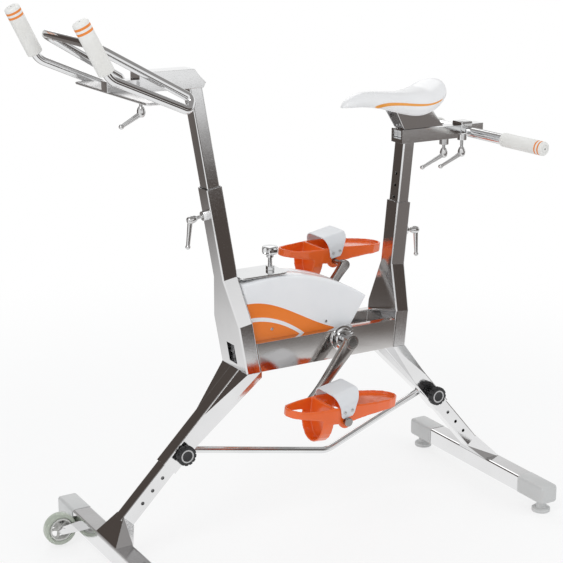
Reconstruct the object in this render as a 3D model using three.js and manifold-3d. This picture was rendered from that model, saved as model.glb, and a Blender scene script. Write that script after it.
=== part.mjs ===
// An aqua bike: a steel cycle frame on two crossbar stands, pedalled under water.
// Millimetres. The floor is z = 0, the handlebar points to -X and the rider's left side is -Y.
import * as THREE from 'three';
import { mergeVertices } from 'three/addons/utils/BufferGeometryUtils.js';
import Module from 'manifold-3d';

const wasm = await Module();
wasm.setup();

// Driving dimensions
const fit = 0.3;
const overrun = 3;
const bite = 1;
const passage = 1.2;
const weld = 0.001;
const facets = { large: 16, medium: 12, small: 8, tiny: 6 };

const rail = { bottom: 420, top: 488, halfWidth: 60, flange: 20, wall: 3 };

const tubing = {
  postWidth: 38, postDepth: 30, postWall: 2.5,
  sleeveWidth: 46, sleeveDepth: 38, sleeveWall: 2,
  corner: 3, bushLength: 46,
};

const frontColumn = {
  footX: -106, footZ: 421, lean: -10, width: 120, depth: 36, floor: 8,
  shoulder: 116, neck: 219, top: 430.5, leverAt: 371, slotFrom: 16, slotTo: 62, slotWidth: 36,
};

const rearColumn = {
  footX: 288, footZ: 418, lean: 5.4, width: 120, depth: 36, floor: 8,
  shoulder: 88, neck: 193, top: 341.5, leverAt: 270,
};

const leg = { tube: 40, wall: 2.5, innerWall: 2.5, wingRecess: 2, wingEnd: 150, hole: 4.5, topMargin: 20 };

const frontLeg = {
  startX: -94.5, startZ: 421, turn: -135, tubeEnd: 292, boreStart: 110, gusset: -44, gussetEnd: 225, gussetX: -63,
  pinAt: 245.5, holeGap: 35.6, holes: 5, flareAt: 437,
};

const rearLeg = {
  startX: 289, startZ: 418, turn: 139.6, tubeEnd: 252, boreStart: 60, gusset: 34, gussetEnd: 215, gussetX: 247,
  pinAt: 205, holeGap: 38.5, holes: 5, flareAt: 402,
};

const stand = {
  frontX: -434, rearX: 591, width: 46, bottom: 29, top: 72, corner: 4, wall: 3, shoulder: 181.7,
  stubWidth: 38, stubHeight: 34, stubEnd: 268, footingWidth: 113, footingDepth: 44,
};

const cap = { proud: 1.3, end: 277, nose: 6, noseInset: 4, corner: 6 };

const foot = { y: 246, radius: 22.5, rim: 9, round: 1.5, neckRadius: 12, studRadius: 5, studTop: 46 };

const wheel = {
  axleX: -497, y: 165, axleZ: 43, radius: 38, width: 24, tyreDepth: 10.5, shoulder: 5,
  hubWidth: 20, rimDepth: 4.5, bossRadius: 9.5, webWidth: 7, holeRadius: 4.6, spokes: 5,
  axleRadius: 5, earThickness: 3, earRadius: 10, nutRadius: 8, earGap: 1, earRoot: 15,
};

const pin = {
  radius: 5, bossRadius: 10, bossLength: 10, knobRadius: 23, knobLength: 14, rimRound: 3,
  flutes: 12, fluteRadius: 2.4, faceDish: 1.2, faceRadius: 16,
};

const brace = { radius: 8, frontX: -262, frontZ: 248, bendX: 125, bendZ: 167, rearX: 399, rearZ: 272, bend: 60 };

const crank = {
  axisX: 128, axisZ: 466, length: 162, angle: 50.5, axleRadius: 9.7, innerY: 88, thickness: 16,
  eyeRadius: 17, endRadius: 13, waist: 9, capWall: 2.3, grooveRadius: 12, groove: 1.4,
  spindleRadius: 6, spindleEnd: 246, collarRadius: 10, collar: 6,
};

const bearing = {
  flangeRadius: 31, flange: 4, noseRadius: 20, nose: 9, barrelRadius: 18, barrel: 12,
  boltRadius: 4.2, boltHead: 3, boltCircle: 24.5, bolts: 3, boltTurn: 30,
};

const belt = {
  y: -21.5, width: 9, thickness: 2.5, driveRadius: 36, drumRadius: 18, flange: 1,
  hubRadius: 17, hubWidth: 20, rim: 5, web: 4, holeRadius: 5.5, holes: 5, holeCircle: 23.5,
};

const drum = { axisX: -25, axisZ: 535, radius: 64, width: 26, rim: 6, web: 5, bossRadius: 14, axleRadius: 6 };

const carrier = {
  frontX: -70, rearX: 20, topFrontX: -62, topRearX: 6, topZ: 615, halfSpan: 33, wall: 3, shaftHead: 9,
};

const pad = { x: -30, length: 50, gap: 2, height: 13, backing: 4 };

const bridge = { rearX: -5, halfWidth: 40, clearance: 3, thickness: 4, corner: 8, nutRadius: 10, nutHeight: 9 };

const knob = {
  x: -30, stem: 5, rise: 27, height: 19, radius: 20, lobe: 2, lobes: 6, round: 3, collar: 8, collarHeight: 7,
};

const cover = {
  arcX: -44, top: 631, arcRadius: 434, rearX: 207, bulge: 44, bottom: 430, halfWidth: 39.5,
  wall: 2.5, round: 8, frontGap: 0.6, boss: 6, screwX: -62, screwZ: 470,
};

const coverArcZ = cover.top - cover.arcRadius;
const bridgeBottom = cover.top + bridge.clearance;
const nutTop = bridgeBottom + bridge.thickness + bridge.nutHeight;
const knobBottom = nutTop + knob.rise;
const knobTop = knobBottom + knob.height;

const clamp = {
  bossRadius: 11, bossHeight: 12, stud: 4, discRadius: 10, disc: 5, stem: 6.5, elbow: 8.5,
  armRoot: 5, armTip: 6.5, smallBoss: 16,
};

// How far each clamp lever's stem stands off, how long its arm is and how many degrees it leans.
const levers = {
  frontColumn: { reach: 42, arm: 60, lean: 16.6 },
  rearColumn: { reach: 40, arm: 60, lean: 8.3 },
  stem: { reach: 48, arm: 52, lean: 28 },
  seat: { reach: 41, arm: 66, lean: 23.2 },
  handle: { reach: 50, arm: 66, lean: 23.2 },
};

const bar = {
  radius: 9.5, gripEndX: -547, gripEndZ: 1234, gripEndY: 183, gripBend: 40,
  bendX: -490, bendY: 188, bendZ: 1121, rearX: -318, rearY: 180, rearZ: 1046,
  returnX: -305, returnY: 166, returnZ: 1068.5, loopBend: 13, frontX: -502, frontY: 128, frontZ: 1183,
  frontBend: 38, plateX: -391, plateLength: 42, plateThickness: 6,
};

const grip = { radius: 17, length: 113, wall: 4, round: 6, rearRadius: 16.5, rearStart: 128, rearEnd: 250 };

const stem = {
  receiverFront: -352, receiverBottom: 1065, receiverTop: 1106, receiverWidth: 46,
  chamferTopX: -225, chamferMidX: -212, chamferMidZ: 1090, backX: -198, backZ: 1076,
  slideWidth: 30, slideBottom: 1069, slideHeight: 22, slideFront: -422, slideRear: -242,
  slideWall: 2.5, boreEnd: -228, clampX: -340, postFrom: 230, postTo: 668,
};

const seat = {
  receiverFront: 311, receiverRear: 472, receiverBottom: 897, receiverTop: 929, receiverWidth: 45,
  cutTopX: 407, cutRearZ: 913, slideWidth: 32, slideBottom: 907, slideHeight: 19, slideFront: 324,
  slideRear: 550, slideWall: 2.5, clampX: 447, slotWidth: 11, slotFront: 314,
  postFrom: 192, postTo: 482, holeTop: 406.8, holeGap: 28, holes: 3, postHole: 4,
};

const bracket = {
  frontX: 318, rearX: 428, base: 40, plate: 3, gap: 0.6, wingHalfWidth: 28, wingFrontX: 276,
  wingRearX: 366, boltFrontX: 336, boltRearX: 398, boltRadius: 4, boltHead: 7, boltHeadHeight: 5,
};

const saddle = { noseX: 158, tailX: 418, halfWidth: 70, skirt: 965, crown: 1040 };

const handle = {
  inset: 34, collarLength: 32, halfWidth: 19, bottom: 903, top: 933, barRadius: 12.5,
  rootInset: 8, rootZ: 908, sweep: 41.5, tipY: 245, tipZ: 898.3,
};

const collarRear = seat.slideRear - handle.inset;
const collarFront = collarRear - handle.collarLength;
const handleRootX = collarRear - handle.rootInset;
const handleTipX = handleRootX + handle.sweep;

const pedal = {
  y: 190, toe: 127, heel: 160, halfWidth: 50, top: 36, tilt: 6, wall: 5, lobe: 18, lobeWidth: 8,
  barrel: 12, slotFrom: -27, slotTo: 30, deckFrom: 36, deckTop: 29, floor: 5,
  scoopFront: -57, scoopRear: -30, scoopHalfWidth: 48, scoopDepth: 58, scoopWall: 4, scoopLip: 12,
};

const strap = {
  peak: 62, rise: 0.3, shoulder: 32, front: -28, rear: 32, sideFront: -18, sideRear: 22, endFront: -14, endRear: 18,
  thickness: 3, corner: 28, low: 14, bolts: [-7, 11], boltZ: 22, boltRadius: 3.5, boltHead: 2.5,
};

// Geometry helpers: every solid is a manifold until its mesh is made.
function manifoldFrom(position, corners) {
  const faces = [];
  const a = new THREE.Vector3();
  const b = new THREE.Vector3();
  const c = new THREE.Vector3();
  let volume = 0;
  for (let i = 0; i < corners.length; i += 3) {
    const [p, q, r] = [corners[i], corners[i + 1], corners[i + 2]];
    if (p === q || q === r || r === p) continue;
    faces.push(p, q, r);
    a.fromBufferAttribute(position, p);
    b.fromBufferAttribute(position, q);
    c.fromBufferAttribute(position, r);
    volume += a.dot(b.cross(c));
  }
  if (volume < 0) faces.reverse();
  return new wasm.Manifold(new wasm.Mesh({
    numProp: 3,
    vertProperties: new Float32Array(position.array),
    triVerts: new Uint32Array(faces),
  }));
}

function solid(geometry) {
  const bare = geometry.clone();
  bare.deleteAttribute('normal');
  bare.deleteAttribute('uv');
  const merged = mergeVertices(bare, weld);
  return manifoldFrom(merged.attributes.position, merged.index.array);
}

function geometryOf(body) {
  const mesh = body.getMesh();
  const geometry = new THREE.BufferGeometry();
  geometry.setAttribute('position', new THREE.BufferAttribute(new Float32Array(mesh.vertProperties), 3));
  geometry.setIndex(new THREE.BufferAttribute(new Uint32Array(mesh.triVerts), 1));
  return geometry;
}

function moved(body, matrix) {
  const geometry = geometryOf(body).applyMatrix4(matrix);
  return manifoldFrom(geometry.attributes.position, geometry.index.array);
}

const mirrored = (body) => moved(body, new THREE.Matrix4().makeScale(1, -1, 1));
const join = (first, ...rest) => rest.reduce((sum, next) => sum.add(next), first);
const cut = (first, ...rest) => rest.reduce((left, next) => left.subtract(next), first);
const common = (first, ...rest) => rest.reduce((left, next) => left.intersect(next), first);

function box([x0, x1], [y0, y1], [z0, z1]) {
  const geometry = new THREE.BoxGeometry(x1 - x0, y1 - y0, z1 - z0);
  return solid(geometry.translate((x0 + x1) / 2, (y0 + y1) / 2, (z0 + z1) / 2));
}

// A round rod, or a cone, between two points.
function rod(from, to, radius, { tip = radius, sides = facets.medium } = {}) {
  const start = new THREE.Vector3(...from);
  const end = new THREE.Vector3(...to);
  const along = end.clone().sub(start);
  const geometry = new THREE.CylinderGeometry(tip, radius, along.length(), sides);
  geometry.applyQuaternion(new THREE.Quaternion().setFromUnitVectors(
    new THREE.Vector3(0, 1, 0), along.normalize()));
  const middle = start.add(end).multiplyScalar(0.5);
  return solid(geometry.translate(middle.x, middle.y, middle.z));
}

function ball(centre, radius, sides = facets.small) {
  return solid(new THREE.SphereGeometry(radius, sides, sides / 2).translate(...centre));
}

// Bases that carry an outline's two directions and its depth to the bike's axes.
const bases = {
  x: new THREE.Matrix4().makeBasis(
    new THREE.Vector3(0, 1, 0), new THREE.Vector3(0, 0, 1), new THREE.Vector3(1, 0, 0)),
  y: new THREE.Matrix4().makeBasis(
    new THREE.Vector3(1, 0, 0), new THREE.Vector3(0, 0, 1), new THREE.Vector3(0, -1, 0)),
  z: new THREE.Matrix4(),
};

// An outline pushed along an axis: (y, z) points along x, (x, z) along y, (x, y) along z.
function prism(shape, axis, from, to, bevel = {}) {
  const options = { depth: to - from, bevelEnabled: false, curveSegments: 10, ...bevel };
  const geometry = new THREE.ExtrudeGeometry(shape, options).applyMatrix4(bases[axis]);
  if (axis === 'x') geometry.translate(from, 0, 0);
  if (axis === 'y') geometry.translate(0, to, 0);
  if (axis === 'z') geometry.translate(0, 0, from);
  return solid(geometry);
}

const outline = (points) => new THREE.Shape(points.map(([u, v]) => new THREE.Vector2(u, v)));

function loft(rings) {
  const count = rings[0].length;
  const index = [];
  for (let r = 0; r + 1 < rings.length; r += 1) {
    for (let i = 0; i < count; i += 1) {
      const a = r * count + i;
      const b = r * count + (i + 1) % count;
      index.push(a, b, b + count, a, b + count, a + count);
    }
  }
  const last = (rings.length - 1) * count;
  for (let i = 1; i + 1 < count; i += 1) {
    index.push(0, i + 1, i, last, last + i, last + i + 1);
  }
  const geometry = new THREE.BufferGeometry();
  geometry.setAttribute('position', new THREE.Float32BufferAttribute(rings.flat(2), 3));
  geometry.setIndex(index);
  return solid(geometry);
}

// Points of a rectangle with round corners, centred on the origin.
function roundedRectangle(width, height, radius, steps = 2) {
  const points = [];
  [[1, 1], [-1, 1], [-1, -1], [1, -1]].forEach(([sx, sy], quarter) => {
    for (let k = 0; k <= steps; k += 1) {
      const angle = (quarter + k / steps) * Math.PI / 2;
      points.push([
        sx * (width / 2 - radius) + radius * Math.cos(angle),
        sy * (height / 2 - radius) + radius * Math.sin(angle),
      ]);
    }
  });
  return points;
}

const ringAt = (depth, width, z, radius = tubing.corner) =>
  roundedRectangle(depth, width, radius).map(([x, y]) => [x, y, z]);

// A polyline through the corners, each rounded to its bend radius.
function bend(corners, radii, steps = 4) {
  const points = [corners[0].clone()];
  for (let i = 1; i + 1 < corners.length; i += 1) {
    const corner = corners[i];
    const back = corners[i - 1].clone().sub(corner).normalize();
    const ahead = corners[i + 1].clone().sub(corner).normalize();
    const half = back.angleTo(ahead) / 2;
    const radius = radii[i - 1];
    const centre = back.clone().add(ahead).normalize().multiplyScalar(radius / Math.sin(half)).add(corner);
    const from = back.clone().multiplyScalar(radius / Math.tan(half)).add(corner).sub(centre);
    const to = ahead.clone().multiplyScalar(radius / Math.tan(half)).add(corner).sub(centre);
    const sweep = Math.PI - 2 * half;
    for (let k = 0; k <= steps; k += 1) {
      const t = k / steps;
      const a = Math.sin((1 - t) * sweep) / Math.sin(sweep);
      const b = Math.sin(t * sweep) / Math.sin(sweep);
      points.push(centre.clone().addScaledVector(from, a).addScaledVector(to, b));
    }
  }
  points.push(corners[corners.length - 1].clone());
  return points;
}

// A closed outline whose corners are all rounded.
function softened(corners, radius, steps = 3) {
  const points = corners.map(([x, y]) => new THREE.Vector3(x, y, 0));
  const closing = points[0].clone().add(points[points.length - 1]).multiplyScalar(0.5);
  const radii = points.map((point, i) => (Array.isArray(radius) ? radius[i] : radius));
  return bend([closing, ...points, closing], radii, steps).slice(0, -1).map((point) => [point.x, point.y]);
}

// A path that is sampled exactly at its own points.
class BentPath extends THREE.Curve {
  constructor(points) {
    super();
    this.points = points;
  }

  getPoint(t, target = new THREE.Vector3()) {
    const place = t * (this.points.length - 1);
    const i = Math.min(Math.floor(place), this.points.length - 2);
    return target.copy(this.points[i]).lerp(this.points[i + 1], place - i);
  }

  getPointAt(u, target) {
    return this.getPoint(u, target);
  }

  getTangent(t, target = new THREE.Vector3()) {
    const last = this.points.length - 1;
    const i = Math.round(t * last);
    const here = this.points[i];
    target.set(0, 0, 0);
    if (i > 0) target.add(here.clone().sub(this.points[i - 1]).normalize());
    if (i < last) target.add(this.points[i + 1].clone().sub(here).normalize());
    return target.normalize();
  }

  getTangentAt(u, target) {
    return this.getTangent(u, target);
  }
}

function bentTube(points, radius, sides = facets.small) {
  const circle = [];
  for (let i = 0; i < sides; i += 1) {
    const angle = 2 * Math.PI * i / sides;
    circle.push([radius * Math.cos(angle), radius * Math.sin(angle)]);
  }
  const path = new BentPath(points);
  const options = { steps: points.length - 1, extrudePath: path, bevelEnabled: false };
  return solid(new THREE.ExtrudeGeometry(outline(circle), options));
}

// A turned piece: (radius, height) points round an axis that starts at a point.
function turned(profile, start, direction, sides = facets.large) {
  const points = profile.map(([radius, height]) => new THREE.Vector2(radius, height));
  const geometry = new THREE.LatheGeometry(points, sides);
  geometry.applyQuaternion(new THREE.Quaternion().setFromUnitVectors(
    new THREE.Vector3(0, 1, 0), new THREE.Vector3(...direction).normalize()));
  return solid(geometry.translate(...start));
}

// Tilted frames, in which the columns and legs are straight.
function tiltedFrame(x, z, degrees) {
  const frame = new THREE.Group();
  frame.position.set(x, 0, z);
  frame.rotation.y = THREE.MathUtils.degToRad(degrees);
  frame.updateMatrix();
  return frame;
}

// X of the plane at an offset in a tilted frame, at the height z.
function planeX(frame, offset, z) {
  const angle = frame.rotation.y;
  const along = (z - frame.position.z + offset * Math.sin(angle)) / Math.cos(angle);
  return frame.position.x + offset * Math.cos(angle) + along * Math.sin(angle);
}

const pointIn = (frame, x, y, z) => new THREE.Vector3(x, y, z).applyMatrix4(frame.matrix).toArray();
const intoFrame = (body, frame) => moved(body, frame.matrix.clone().invert());
const outOfFrame = (body, frame) => moved(body, frame.matrix);

const bike = new THREE.Group();
bike.name = 'aqua_bike';
const frontFrame = tiltedFrame(frontColumn.footX, frontColumn.footZ, frontColumn.lean);
const rearFrame = tiltedFrame(rearColumn.footX, rearColumn.footZ, rearColumn.lean);
const frontLegFrame = tiltedFrame(frontLeg.startX, frontLeg.startZ, frontLeg.turn);
const rearLegFrame = tiltedFrame(rearLeg.startX, rearLeg.startZ, rearLeg.turn);
bike.add(frontFrame, rearFrame, frontLegFrame, rearLegFrame);

const finishes = {
  polished: { color: 0xd4d6d8, roughness: 0.16, metalness: 1 },
  satin: { color: 0xb9bbbd, roughness: 0.38, metalness: 1 },
  dark: { color: 0x4c4946, roughness: 0.25, metalness: 1 },
  white: { color: 0xf3f3f1, roughness: 0.3, metalness: 0 },
  grey: { color: 0xcfd0cf, roughness: 0.5, metalness: 0 },
  orange: { color: 0xee5a1c, roughness: 0.35, metalness: 0 },
  black: { color: 0x17181a, roughness: 0.55, metalness: 0 },
  tyre: { color: 0xaab5a4, roughness: 0.3, metalness: 0 },
};

function piece(parent, name, body, finish) {
  const mesh = new THREE.Mesh(geometryOf(body), new THREE.MeshStandardMaterial(finishes[finish]));
  mesh.geometry.computeVertexNormals();
  mesh.name = name;
  parent.add(mesh);
  return mesh;
}

// Clamp levers. In a lever's own frame z leaves the tube's face and the arm swings out along x.
function clampFrame(point, normal, armWay) {
  const frame = new THREE.Group();
  const z = new THREE.Vector3(...normal).normalize();
  const x = new THREE.Vector3(...armWay).normalize();
  const y = z.clone().cross(x);
  frame.applyMatrix4(new THREE.Matrix4().makeBasis(x, y, z).setPosition(...point));
  frame.updateMatrix();
  return frame;
}

// The lug on the tube that the stud goes through.
function clampBoss(frame, radius, height, depth) {
  return outOfFrame(rod([0, 0, -depth], [0, 0, height], radius), frame);
}

function clampBore(frame, depth, height) {
  return outOfFrame(rod([0, 0, -depth], [0, 0, height + overrun], clamp.stud + fit, { sides: facets.medium }), frame);
}

const sleeveClampDepth = (tubing.sleeveDepth - tubing.postDepth) / 2 - fit;

function clampLever(bossHeight, wall, { reach, arm, lean }) {
  const base = bossHeight + fit;
  const slope = THREE.MathUtils.degToRad(lean);
  const tip = [arm * Math.cos(slope), 0, reach + arm * Math.sin(slope)];
  return join(
    rod([0, 0, -wall], [0, 0, base + overrun], clamp.stud, { sides: facets.tiny }),
    rod([0, 0, base], [0, 0, base + clamp.disc], clamp.discRadius, { sides: facets.medium }),
    rod([0, 0, base], [0, 0, reach], clamp.stem, { sides: facets.tiny }),
    ball([0, 0, reach], clamp.elbow),
    rod([0, 0, reach], tip, clamp.armRoot, { tip: clamp.armTip, sides: facets.small }),
    ball(tip, clamp.armTip),
  );
}

// Columns
function columnShell(size, frame) {
  const outer = loft([
    ringAt(size.depth, size.width, -size.floor),
    ringAt(size.depth, size.width, size.shoulder),
    ringAt(tubing.sleeveDepth, tubing.sleeveWidth, size.neck),
    ringAt(tubing.sleeveDepth, tubing.sleeveWidth, size.top),
  ]);
  const wall = tubing.sleeveWall;
  const inner = loft([
    ringAt(size.depth - 2 * wall, size.width - 2 * wall, size.floor, wall),
    ringAt(size.depth - 2 * wall, size.width - 2 * wall, size.shoulder, wall),
    ringAt(tubing.sleeveDepth - 2 * wall, tubing.sleeveWidth - 2 * wall, size.neck, wall),
    ringAt(tubing.sleeveDepth - 2 * wall, tubing.sleeveWidth - 2 * wall, size.top + overrun, wall),
  ]);
  const below = box([-4 * size.depth, 4 * size.depth], [-size.width, size.width], [-size.width, 0]);
  const level = moved(below, new THREE.Matrix4().makeTranslation(size.footX, 0, rail.bottom));
  return cut(outer, inner, intoFrame(level, frame));
}

function sleeveClampFrame(size, side) {
  const face = side * tubing.sleeveDepth / 2;
  return clampFrame([face, 0, size.leverAt], [side, 0, 0], [0, 0, -1]);
}

const frontClamp = sleeveClampFrame(frontColumn, -1);
const rearClamp = sleeveClampFrame(rearColumn, 1);
frontFrame.add(frontClamp);
rearFrame.add(rearClamp);

function columnWithClamp(size, frame, columnFrame) {
  const inside = tubing.sleeveWall / 2;
  return cut(
    join(columnShell(size, columnFrame), clampBoss(frame, clamp.bossRadius, clamp.bossHeight, inside)),
    clampBore(frame, tubing.sleeveWall + overrun, clamp.bossHeight),
  );
}

const columnSlot = box(
  [-frontColumn.depth, -frontColumn.depth / 2 + tubing.sleeveWall + overrun],
  [-frontColumn.slotWidth / 2, frontColumn.slotWidth / 2],
  [frontColumn.slotFrom, frontColumn.slotTo],
);
piece(frontFrame, 'front_column', cut(columnWithClamp(frontColumn, frontClamp, frontFrame), columnSlot), 'satin');
piece(rearFrame, 'rear_column', columnWithClamp(rearColumn, rearClamp, rearFrame), 'satin');

function bush(size) {
  const wall = tubing.sleeveWall + fit;
  const from = size.top - tubing.bushLength;
  const outer = ringAt(tubing.sleeveDepth - 2 * wall, tubing.sleeveWidth - 2 * wall, from, wall);
  const bore = [tubing.postDepth + 2 * fit, tubing.postWidth + 2 * fit];
  return cut(
    loft([outer, outer.map(([x, y]) => [x, y, size.top])]),
    box([-bore[0] / 2, bore[0] / 2], [-bore[1] / 2, bore[1] / 2], [from - overrun, size.top + overrun]),
  );
}

piece(frontFrame, 'front_post_bush', bush(frontColumn), 'black');
piece(rearFrame, 'rear_post_bush', bush(rearColumn), 'black');

// Side rails: two channels between the columns, open inwards.
function sideRail() {
  const end = (frame, offset, gap, z) => [planeX(frame, offset, z) + gap, z];
  const between = (low, high) => outline([
    end(frontFrame, frontColumn.depth / 2, fit, low),
    end(rearFrame, -rearColumn.depth / 2, -fit, low),
    end(rearFrame, -rearColumn.depth / 2, -fit, high),
    end(frontFrame, frontColumn.depth / 2, fit, high),
  ]);
  const inner = rail.halfWidth - rail.flange;
  const hollow = box(
    [2 * frontColumn.footX, 2 * rearColumn.footX],
    [inner - overrun, rail.halfWidth - rail.wall],
    [rail.bottom + rail.wall, rail.top - rail.wall],
  );
  const bore = rod(
    [crank.axisX, inner, crank.axisZ], [crank.axisX, rail.halfWidth + overrun, crank.axisZ],
    bearing.barrelRadius + fit, { sides: facets.large },
  );
  return cut(prism(between(rail.bottom, rail.top), 'y', inner, rail.halfWidth), hollow, bore);
}

const rightRail = sideRail();
piece(bike, 'right_rail', rightRail, 'dark');
piece(bike, 'left_rail', mirrored(rightRail), 'dark');

// The gusset of a leg, in the leg's own frame, grown by a clearance.
function gussetOutline(size, grow) {
  const side = Math.sign(size.gusset);
  const deep = size.gusset + side * grow;
  const shallow = side * (leg.tube / 2 - leg.wingRecess + grow);
  return outline([[0, -2 * leg.tube], [deep, -2 * leg.tube], [deep, 0], [shallow, size.gussetEnd],
    [0, size.gussetEnd]]);
}

// Legs: a square tube with wings that widen to the column's foot and a hollow gusset under the rails.
function legTube(size, frame, columnFrame, column) {
  const half = leg.tube / 2;
  const recess = leg.wingRecess;
  const top = rail.bottom - fit;
  const footFront = planeX(columnFrame, -column.depth / 2, top) + recess;
  const footRear = planeX(columnFrame, column.depth / 2, top) - recess;
  const foot = [[footFront, 1], [footFront, -1], [footRear, -1], [footRear, 1]]
    .map(([x, side]) => [x, side * column.width / 2, top]);
  const end = half - recess;
  const wings = intoFrame(loft([
    foot,
    [[end, half], [end, -half], [-end, -half], [-end, half]].map(([x, y]) => pointIn(frame, x, y, leg.wingEnd)),
  ]), frame);
  const tube = loft([ringAt(leg.tube, leg.tube, -leg.tube), ringAt(leg.tube, leg.tube, size.tubeEnd)]);
  const side = Math.sign(size.gusset);
  const inside = size.gusset - side * leg.wall;
  const pocket = outline([[side * half, -2 * leg.tube], [inside, -2 * leg.tube], [inside, 0],
    [side * half, size.gussetEnd / 2]]);
  const bore = half - leg.wall;
  const far = 8 * leg.tube;
  const beyond = side > 0 ? [size.gussetX - far, size.gussetX] : [size.gussetX, size.gussetX + far];
  const removed = join(
    box([size.startX - far, size.startX + far], [-far, far], [top, top + far]),
    box(beyond, [-far, far], [top - far / 2, top + far]),
  );
  const boss = rod([0, -half + leg.wall / 2, size.pinAt], [0, -half - pin.bossLength, size.pinAt], pin.bossRadius);
  return cut(
    join(wings, tube, prism(gussetOutline(size, 0), 'y', -half + bite, half - bite), boss),
    prism(pocket, 'y', -bore, bore),
    intoFrame(removed, frame),
    box([-bore, bore], [-bore, bore], [size.boreStart, size.tubeEnd + overrun]),
    rod([0, -bore + overrun, size.pinAt], [0, -half - pin.bossLength - overrun, size.pinAt], pin.radius + fit),
  );
}

piece(frontLegFrame, 'front_leg_tube', legTube(frontLeg, frontLegFrame, frontFrame, frontColumn), 'satin');
piece(rearLegFrame, 'rear_leg_tube', legTube(rearLeg, rearLegFrame, rearFrame, rearColumn), 'satin');

// Brace rod, coped to the faces of both legs.
function braceRod() {
  const path = bend([
    new THREE.Vector3(brace.frontX, 0, brace.frontZ),
    new THREE.Vector3(brace.bendX, 0, brace.bendZ),
    new THREE.Vector3(brace.rearX, 0, brace.rearZ),
  ], [brace.bend], 5);
  const room = leg.tube / 2 + fit;
  const envelope = (frame, size) => outOfFrame(join(
    box([-room, room], [-room, room], [0, size.tubeEnd]),
    prism(gussetOutline(size, 2 * fit), 'y', -room, room),
  ), frame);
  const behind = (frame, size) => outOfFrame(
    box([room - fit, size.tubeEnd], [-room, room], [0, size.tubeEnd]), frame);
  return cut(
    bentTube(path, brace.radius),
    envelope(frontLegFrame, frontLeg), behind(frontLegFrame, frontLeg), envelope(rearLegFrame, rearLeg),
  );
}

piece(bike, 'brace_rod', braceRod(), 'polished');

// Stands: an inner leg, a flared foot and a crossbar.
const holePlaces = (size) => Array.from({ length: size.holes }, (unused, i) => size.pinAt + i * size.holeGap);

function standBody(size, frame, barX) {
  const half = leg.tube / 2 - leg.wall - fit;
  const top = size.pinAt - leg.topMargin;
  const legShaft = loft([ringAt(2 * half, 2 * half, top), ringAt(2 * half, 2 * half, size.flareAt + leg.tube / 4)]);
  const hollow = half - leg.innerWall;
  const holes = holePlaces(size).map((place) =>
    rod([0, -leg.tube, place], [0, leg.tube, place], leg.hole, { sides: facets.small }));
  const shaft = outOfFrame(cut(
    legShaft,
    box([-hollow, hollow], [-hollow, hollow], [top - overrun, size.flareAt - leg.tube / 2]),
    ...holes,
  ), frame);
  const footing = [
    [-stand.footingDepth / 2, stand.footingWidth / 2], [-stand.footingDepth / 2, -stand.footingWidth / 2],
    [stand.footingDepth / 2, -stand.footingWidth / 2], [stand.footingDepth / 2, stand.footingWidth / 2],
  ].map(([x, y]) => [barX + x, y, stand.top - stand.corner]);
  const flare = loft([
    [[half, half], [half, -half], [-half, -half], [-half, half]].map(([x, y]) => pointIn(frame, x, y, size.flareAt)),
    footing,
  ]);
  const section = (width, height, radius) => outline(roundedRectangle(width, height, radius)
    .map(([x, z]) => [barX + x, (stand.top + stand.bottom) / 2 + z]));
  const crossbar = prism(section(stand.width, stand.top - stand.bottom, stand.corner), 'y',
    -stand.shoulder, stand.shoulder);
  const stub = prism(section(stand.stubWidth, stand.stubHeight, stand.corner), 'y', -stand.stubEnd, stand.stubEnd);
  const barBore = prism(
    section(stand.stubWidth - 2 * stand.wall, stand.stubHeight - 2 * stand.wall, stand.corner - stand.wall),
    'y', -stand.stubEnd - overrun, stand.stubEnd + overrun);
  const studHoles = [-1, 1].map((side) => rod(
    [barX, side * foot.y, 0], [barX, side * foot.y, foot.studTop + overrun], foot.studRadius + fit,
    { sides: facets.medium }));
  return cut(join(shaft, flare, crossbar, stub), barBore, ...studHoles);
}

function wheelFork() {
  const inner = wheel.width / 2 + wheel.earGap;
  const outer = inner + wheel.earThickness;
  const faceX = stand.frontX - stand.width / 2 + stand.corner;
  const ear = outline([
    [faceX, wheel.axleZ - wheel.earRoot + stand.corner],
    [faceX, wheel.axleZ + wheel.earRoot],
    [wheel.axleX, wheel.axleZ + wheel.earRadius],
    [wheel.axleX - wheel.earRadius, wheel.axleZ],
    [wheel.axleX, wheel.axleZ - wheel.earRadius],
  ]);
  return join(
    prism(ear, 'y', wheel.y + inner, wheel.y + outer),
    prism(ear, 'y', wheel.y - outer, wheel.y - inner),
    rod([wheel.axleX, wheel.y - outer, wheel.axleZ], [wheel.axleX, wheel.y + outer, wheel.axleZ], wheel.axleRadius),
    rod([wheel.axleX, wheel.y - outer - wheel.earThickness, wheel.axleZ],
      [wheel.axleX, wheel.y - outer, wheel.axleZ], wheel.nutRadius, { sides: 6 }),
  );
}

const fork = wheelFork();
const frontStand = join(standBody(frontLeg, frontLegFrame, stand.frontX), fork, mirrored(fork));
piece(bike, 'front_stand', frontStand, 'satin');
piece(bike, 'rear_stand', standBody(rearLeg, rearLegFrame, stand.rearX), 'satin');

function endCap(barX) {
  const middle = (stand.top + stand.bottom) / 2;
  const ring = (inset, y) => roundedRectangle(
    stand.width + 2 * cap.proud - 2 * inset, stand.top - stand.bottom + 2 * cap.proud - 2 * inset, cap.corner)
    .map(([x, z]) => [barX + x, y, middle + z]);
  const from = stand.shoulder + fit;
  const shell = loft([ring(0, from), ring(0, cap.end - cap.nose), ring(cap.noseInset / 3, cap.end - cap.nose / 3),
    ring(cap.noseInset, cap.end)]);
  const cavity = prism(outline(roundedRectangle(stand.stubWidth + 2 * fit, stand.stubHeight + 2 * fit, stand.corner)
    .map(([x, z]) => [barX + x, middle + z])), 'y', from - overrun, stand.stubEnd + fit);
  const studHole = rod([barX, foot.y, 0], [barX, foot.y, middle], foot.studRadius + fit, { sides: facets.medium });
  return cut(shell, cavity, studHole);
}

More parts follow.
